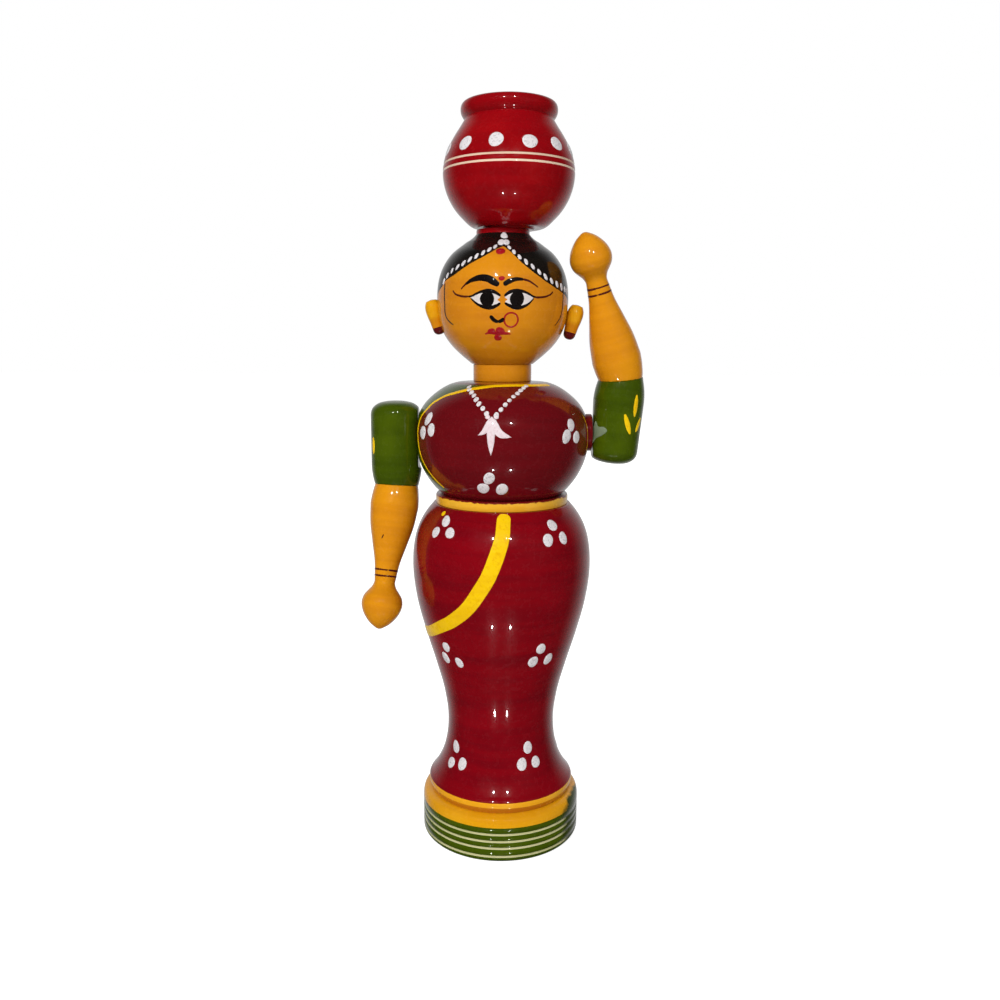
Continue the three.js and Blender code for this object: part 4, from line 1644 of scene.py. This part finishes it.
@dataclass
class Arm:
    """One arm: boss on the torso, planed sleeve, and a forearm mitred at the elbow.

    Attributes:
        side: which arm.
        down: whether it hangs.
        lean: how far the sleeve leans out, in degrees.
        forearm_out: how far the forearm leans out, in degrees.
        forearm_forward: how far the forearm leans forward, in degrees.
        leaves: (azimuth, height, lean in degrees, length) of the yellow leaf strokes.
        elbow: distance from shoulder to elbow.
        seat: distance from the sleeve's axis to its flat.
        seat_length: how far up the sleeve the flat goes.
        sleeve_radius: the sleeve's radius.
        wrist_lines: distances from the elbow to the lines round the wrist.
    """

    side: Side
    down: bool
    lean: float
    forearm_out: float
    forearm_forward: float
    leaves: Sequence[tuple[float, float, float, float]]
    elbow: float = 21.8
    seat: float = 9.1
    seat_length: float = 14.0
    sleeve_radius: float = 10.2
    wrist_lines: Sequence[float] = (35.0, 37.5)

    def build(self, painter: Painter) -> None:
        """Makes the arm.

        Args:
            painter: makes the materials.
        """
        name = self.side.value
        joint = next(j for j in frame["joints"] if j["name"] == f"{name}_shoulder")
        centre = Vector(joint["pos_m"])
        self._boss(painter, centre)
        lean = Matrix.Rotation(math.radians(self.lean), 4, "Y")
        upper = Matrix.Translation(centre) @ Matrix.Rotation(math.pi if self.down else 0.0, 4, "Y") @ lean
        out, forward = math.radians(self.forearm_out), math.radians(self.forearm_forward)
        aim = lean.inverted().to_3x3() @ Vector((math.tan(out), -math.tan(forward), 1.0)).normalized()
        mitre = (aim + Z_AXIS).normalized()
        sleeve = self._sleeve(painter, upper, lean, mitre)
        self._forearm(painter, upper, Z_AXIS.rotation_difference(aim).to_matrix().to_4x4(), mitre)
        if not self.down:
            self._glue_and_glare(sleeve, painter)

    def _turning(self, part: str, place: Matrix, toward: Vector, sawn: Sawn) -> Turning:
        """Reads one of the two turnings of the arm.

        Args:
            part: which one.
            place: its frame.
            toward: the side of the axis to read.
            sawn: which end is sawn.

        Returns:
            The turning.
        """
        body = Body.LEFT_ARM if self.side is Side.LEFT else Body.RIGHT_ARM
        slot, finish = {"sleeve": (Slot.GREEN, GREEN), "forearm": (Slot.SKIN, ARM_SKIN)}[part]
        node = f"{self.side.value}_{part}"
        return Turning(node, place, body, slot, [(-99.0, finish)], toward, 96, sawn, step=0.6)

    def _sleeve(self, painter: Painter, upper: Matrix, lean: Matrix, mitre: Vector) -> Turning:
        """Makes the sleeve and its leaves.

        Args:
            painter: makes the materials.
            upper: the sleeve's frame.
            lean: the lean of the sleeve from upright.
            mitre: the direction square to the saw cut.

        Returns:
            The sleeve.
        """
        sleeve = self._turning("sleeve", upper, X_AXIS.copy(), Sawn.TOP)

        def shape(mesh: Mesh) -> None:
            """Saws the sleeve at the elbow and planes its seat.

            Args:
                mesh: the sleeve.
            """
            self._saw(mesh, Z_AXIS * self.elbow * MM - mitre * SAW_GAP * MM, mitre)
            for vert in mesh.verts:
                spot = lean @ vert.co
                floor = -(self.seat + max(0.0, spot.z / MM - self.seat_length)) * MM
                if spot.x < floor:
                    spot.x = floor
                    vert.co = lean.inverted() @ spot

        sleeve.build(painter, f"{self.side.value}_sleeve_turning", shape)
        leaves = Enamel(sleeve)
        for azimuth, height, slant, length in self.leaves:
            rise = length / 2
            turn = math.degrees(math.tan(math.radians(slant)) * rise / self.sleeve_radius)
            ends = ((azimuth - turn, height - rise), (azimuth, height), (azimuth + turn, height + rise))
            leaves.stroke(ends, (0.7, 2.0, 2.3, 1.9, 0.7), 0.14)
        leaves.build(painter, f"{self.side.value}_sleeve_leaves", ENAMEL_YELLOW)
        return sleeve

    def _forearm(self, painter: Painter, upper: Matrix, bend: Matrix, mitre: Vector) -> None:
        """Makes the forearm and the lines round its wrist.

        Args:
            painter: makes the materials.
            upper: the sleeve's frame.
            bend: the turn from the sleeve's direction to the forearm's.
            mitre: the direction square to the saw cut, in the sleeve's frame.
        """
        back = bend.inverted().to_3x3()
        place = upper @ Matrix.Translation(Z_AXIS * self.elbow * MM) @ bend
        forearm = self._turning("forearm", place, self._outer(back @ Z_AXIS), Sawn.FOOT)
        cut = back @ mitre
        name = f"{self.side.value}_forearm_turning"
        forearm.build(painter, name, lambda mesh: self._saw(mesh, cut * SAW_GAP * MM, -cut))
        wrist = Enamel(forearm)
        for height in self.wrist_lines:
            around = [(30.0 * k, height + random.uniform(-0.12, 0.12)) for k in range(12)]
            wrist.stroke(around, (0.7, 0.85, 0.7), 0.07, closed=True)
        if self.down:
            wrist.stroke(((14.0, 21.0), (22.0, 23.0)), (0.4, 0.7, 0.3), 0.04)
        wrist.build(painter, f"{self.side.value}_wrist_lines", BROWN_INK)

    @staticmethod
    def _glue_and_glare(sleeve: Turning, painter: Painter) -> None:
        """Adds the grey-green smear in front of the shoulder: dried adhesive, with a painted reflection of
        the white surround on the lac.

        Args:
            sleeve: the sleeve that it is on.
            painter: makes the materials.
        """
        glue_and_glare = Enamel(sleeve)
        # painted reflection: the smear's pale grey-green stands for glare of the white surround, as well as
        # dried adhesive
        smear = ((-64, -5), (-61, 4), (-48, 2.2), (-34, 2.4), (-24, 1), (-36, -1.2), (-50, -2.6))
        glue_and_glare.shape(smear, 0.35)
        glue_and_glare.build(painter, "shoulder_glue_and_glare", GLUE_AND_GLARE)

    @staticmethod
    def _outer(sleeve: Vector) -> Vector:
        """Finds the meridian on the long side of the elbow, on one of the solid's own edges.

        Args:
            sleeve: the sleeve's direction, in the forearm's own frame.

        Returns:
            The meridian's direction, square to the forearm.
        """
        step = math.radians(15)
        angle = round(math.atan2(sleeve.x, -sleeve.y) / step) * step
        return Vector((math.sin(angle), -math.cos(angle), 0.0))

    @staticmethod
    def _saw(mesh: Mesh, at: Vector, away: Vector) -> None:
        """Saws off what lies past a plane and closes the cut.

        Args:
            mesh: what is sawn.
            at: a point on the plane.
            away: the direction of what is removed.
        """
        everything = mesh.verts[:] + mesh.edges[:] + mesh.faces[:]
        plane = {"plane_co": at, "plane_no": away, "clear_outer": True}
        cut = bmesh.ops.bisect_plane(mesh, geom=everything, dist=1e-7, **plane)["geom_cut"]
        edges = [part for part in cut if isinstance(part, bmesh.types.BMEdge)]
        for face in bmesh.ops.edgenet_fill(mesh, edges=edges)["faces"]:
            face.smooth = False

    def _boss(self, painter: Painter, centre: Vector) -> None:
        """Makes the turned disc between torso and sleeve.

        Args:
            painter: makes the materials.
            centre: the shoulder's place.
        """
        name = f"{self.side.value}_shoulder_boss"
        low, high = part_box(name)
        start, outward = (low.x, 1.0) if self.side is Side.LEFT else (high.x, -1.0)
        place = Matrix.Translation((start, 0, centre.z)) @ Matrix.Rotation(outward * math.pi / 2, 4, "Y")
        boss = Turning(name, place, Body.DOLL, Slot.MAROON, [(-1.0, MAROON)], sides=72, fillet=0.5)
        boss.build(painter, f"{self.side.value}_boss_turning")


RAISED_ARM = Arm(
    Side.LEFT, False, lean=6.0, forearm_out=-16.76, forearm_forward=8.3,
    leaves=((36.0, 12.0, 0.0, 9.0), (20.0, 4.5, -24.0, 8.0), (54.0, 4.5, 24.0, 6.0)),
)
HANGING_ARM = Arm(
    Side.RIGHT, True, lean=0.0, forearm_out=6.57, forearm_forward=15.0,
    leaves=((58.0, 5.2, 0.0, 7.0), (104.0, -1.5, 24.0, 7.0), (124.0, 4.0, 0.0, 8.0)),
)


@dataclass
class Doll:
    """The whole doll, from plinth to pot."""

    seed: int = 7

    def build(self) -> None:
        """Makes every piece, and gives the dowels, pegs and pins their wood."""
        random.seed(self.seed)
        painter = Painter(Effects())
        for part in (Base(), Skirt(), Waist(), Torso(), Head(), Pot(), RAISED_ARM, HANGING_ARM):
            LOG.info("building %s", type(part).__name__)
            part.build(painter)
        wood = painter.bare_wood()
        for name, node in frame["nodes"].items():
            if name.endswith(("dowel", "peg", "pin")):
                node.data.materials.clear()
                node.data.materials.append(wood)


# ---------------------------------------------------------------- studio


@dataclass(frozen=True)
class Lamp:
    """One soft lamp that faces the doll.

    Attributes:
        name: its name.
        at: its place in metres.
        watts: its power.
        width: its width in metres.
        glossy: whether it shows in reflections.
    """

    name: str
    at: Triple
    watts: float
    width: float
    glossy: bool = False

    def build(self) -> None:
        """Makes the lamp."""
        data = bpy.data.lights.new(self.name, "AREA")
        data.shape = "DISK" if self.glossy else "SQUARE"
        data.energy, data.size = self.watts, self.width
        lamp = bpy.data.objects.new(self.name, data)
        bpy.context.scene.collection.objects.link(lamp)
        from_doll = Vector(self.at) - Vector((0, 0, 0.16))
        facing = from_doll.to_track_quat("Z", "Y").to_matrix().to_4x4()
        lamp.matrix_world = Matrix.Translation(self.at) @ facing
        lamp.visible_glossy = self.glossy
        lamp.visible_camera = False


@dataclass
class Studio:
    """Camera, floor, surround and lamps."""

    camera_at: Triple = (-0.00072, -0.375, 0.2051)
    pitch: float = 9.533
    roll: float = 0.25
    lens: float = 33.35
    floor_glow: float = 0.86
    surround: float = 0.3
    front_gloss: float = 0.012
    back_gloss: float = 0.5

    def build(self) -> None:
        """Sets up the studio."""
        self._camera()
        self._floor()
        self._world()
        lamps = [
            Lamp("key_left", (-0.75, -1.6, 1.15), 27.0, 1.0),
            Lamp("fill_right", (1.2, -1.3, 0.7), 4.0, 1.2),
            Lamp("back_fill", (0.4, 1.8, 1.2), 14.0, 1.4),
        ]
        for x in (-0.275, 0.275):
            lamps.append(Lamp("spark", (x, -1.24, 1.0), 1.6, 0.045, glossy=True))
            lamps.append(Lamp("table_spark", (x, -1.1, -0.95), 0.9, 0.045, glossy=True))
        for lamp in lamps:
            lamp.build()
        bpy.context.scene.view_settings.view_transform = "Standard"

    def _camera(self) -> None:
        """Makes the camera."""
        data = bpy.data.cameras.new("camera")
        data.lens, data.sensor_width = self.lens, 36.0
        data.clip_start, data.clip_end = 0.01, 50
        eye = bpy.data.objects.new("camera", data)
        bpy.context.scene.collection.objects.link(eye)
        tip = Matrix.Rotation(math.radians(90 - self.pitch), 4, "X")
        roll = Matrix.Rotation(math.radians(self.roll), 4, "Z")
        eye.matrix_world = Matrix.Translation(self.camera_at) @ tip @ roll
        bpy.context.scene.camera = eye

    def _floor(self) -> None:
        """Makes the plain pale floor, which glows only for the camera."""
        mesh = bmesh.new()
        bmesh.ops.create_grid(mesh, x_segments=2, y_segments=2, size=6.0)
        material, nodes, shader = Painter.blank("studio_floor")
        paths = nodes.add("LightPath").outputs
        nodes.feed(shader, {
            "Base Color": (0.55, 0.55, 0.545),
            "Roughness": 0.9,
            "Specular IOR Level": 0.0,
            "Emission Color": (1, 1, 1),
            "Emission Strength": nodes.maths("MULTIPLY", paths["Is Camera Ray"], self.floor_glow),
        })
        floor = make_object("studio_floor", mesh, [material])
        floor.visible_glossy = False
        floor.visible_shadow = False
        floor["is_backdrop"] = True

    def _world(self) -> None:
        """Makes a white surround that is dim in reflections from the front."""
        world = bpy.data.worlds.new("studio")
        bpy.context.scene.world = world
        world.use_nodes = True
        world.node_tree.nodes.clear()
        nodes = Nodes(world.node_tree)
        paths = nodes.add("LightPath").outputs
        axes = nodes.add("SeparateXYZ", {"Vector": nodes.add("TexCoord").outputs["Generated"]})
        ramp = {"From Min": 0.2, "From Max": 1.0, "To Min": self.front_gloss, "To Max": self.back_gloss}
        ramp["Value"] = axes.outputs["Y"]
        glint = nodes.add("MapRange", ramp, interpolation_type="SMOOTHSTEP").outputs["Result"]
        seen, soft, gloss = [
            nodes.add("Background", {"Color": (1, 1, 1), "Strength": strength}).outputs["Background"]
            for strength in (1.0, self.surround, glint)
        ]
        unseen = nodes.add("MixShader", {"Fac": paths["Is Glossy Ray"], 1: soft, 2: gloss})
        light = nodes.add("MixShader", {"Fac": paths["Is Camera Ray"], 1: unseen.outputs["Shader"], 2: seen})
        nodes.add("OutputWorld", {"Surface": light.outputs["Shader"]})


def main() -> None:
    """Builds the studio and the doll."""
    logging.basicConfig(level=logging.INFO, format="%(name)s: %(message)s")
    Studio().build()
    Doll().build()
    boxes = [[list(corner) for corner in box] for box in (CAD_BOX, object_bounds())]
    {"cad": boxes[0], "visual": boxes[1]}


if __name__ == "__main__":
    main()
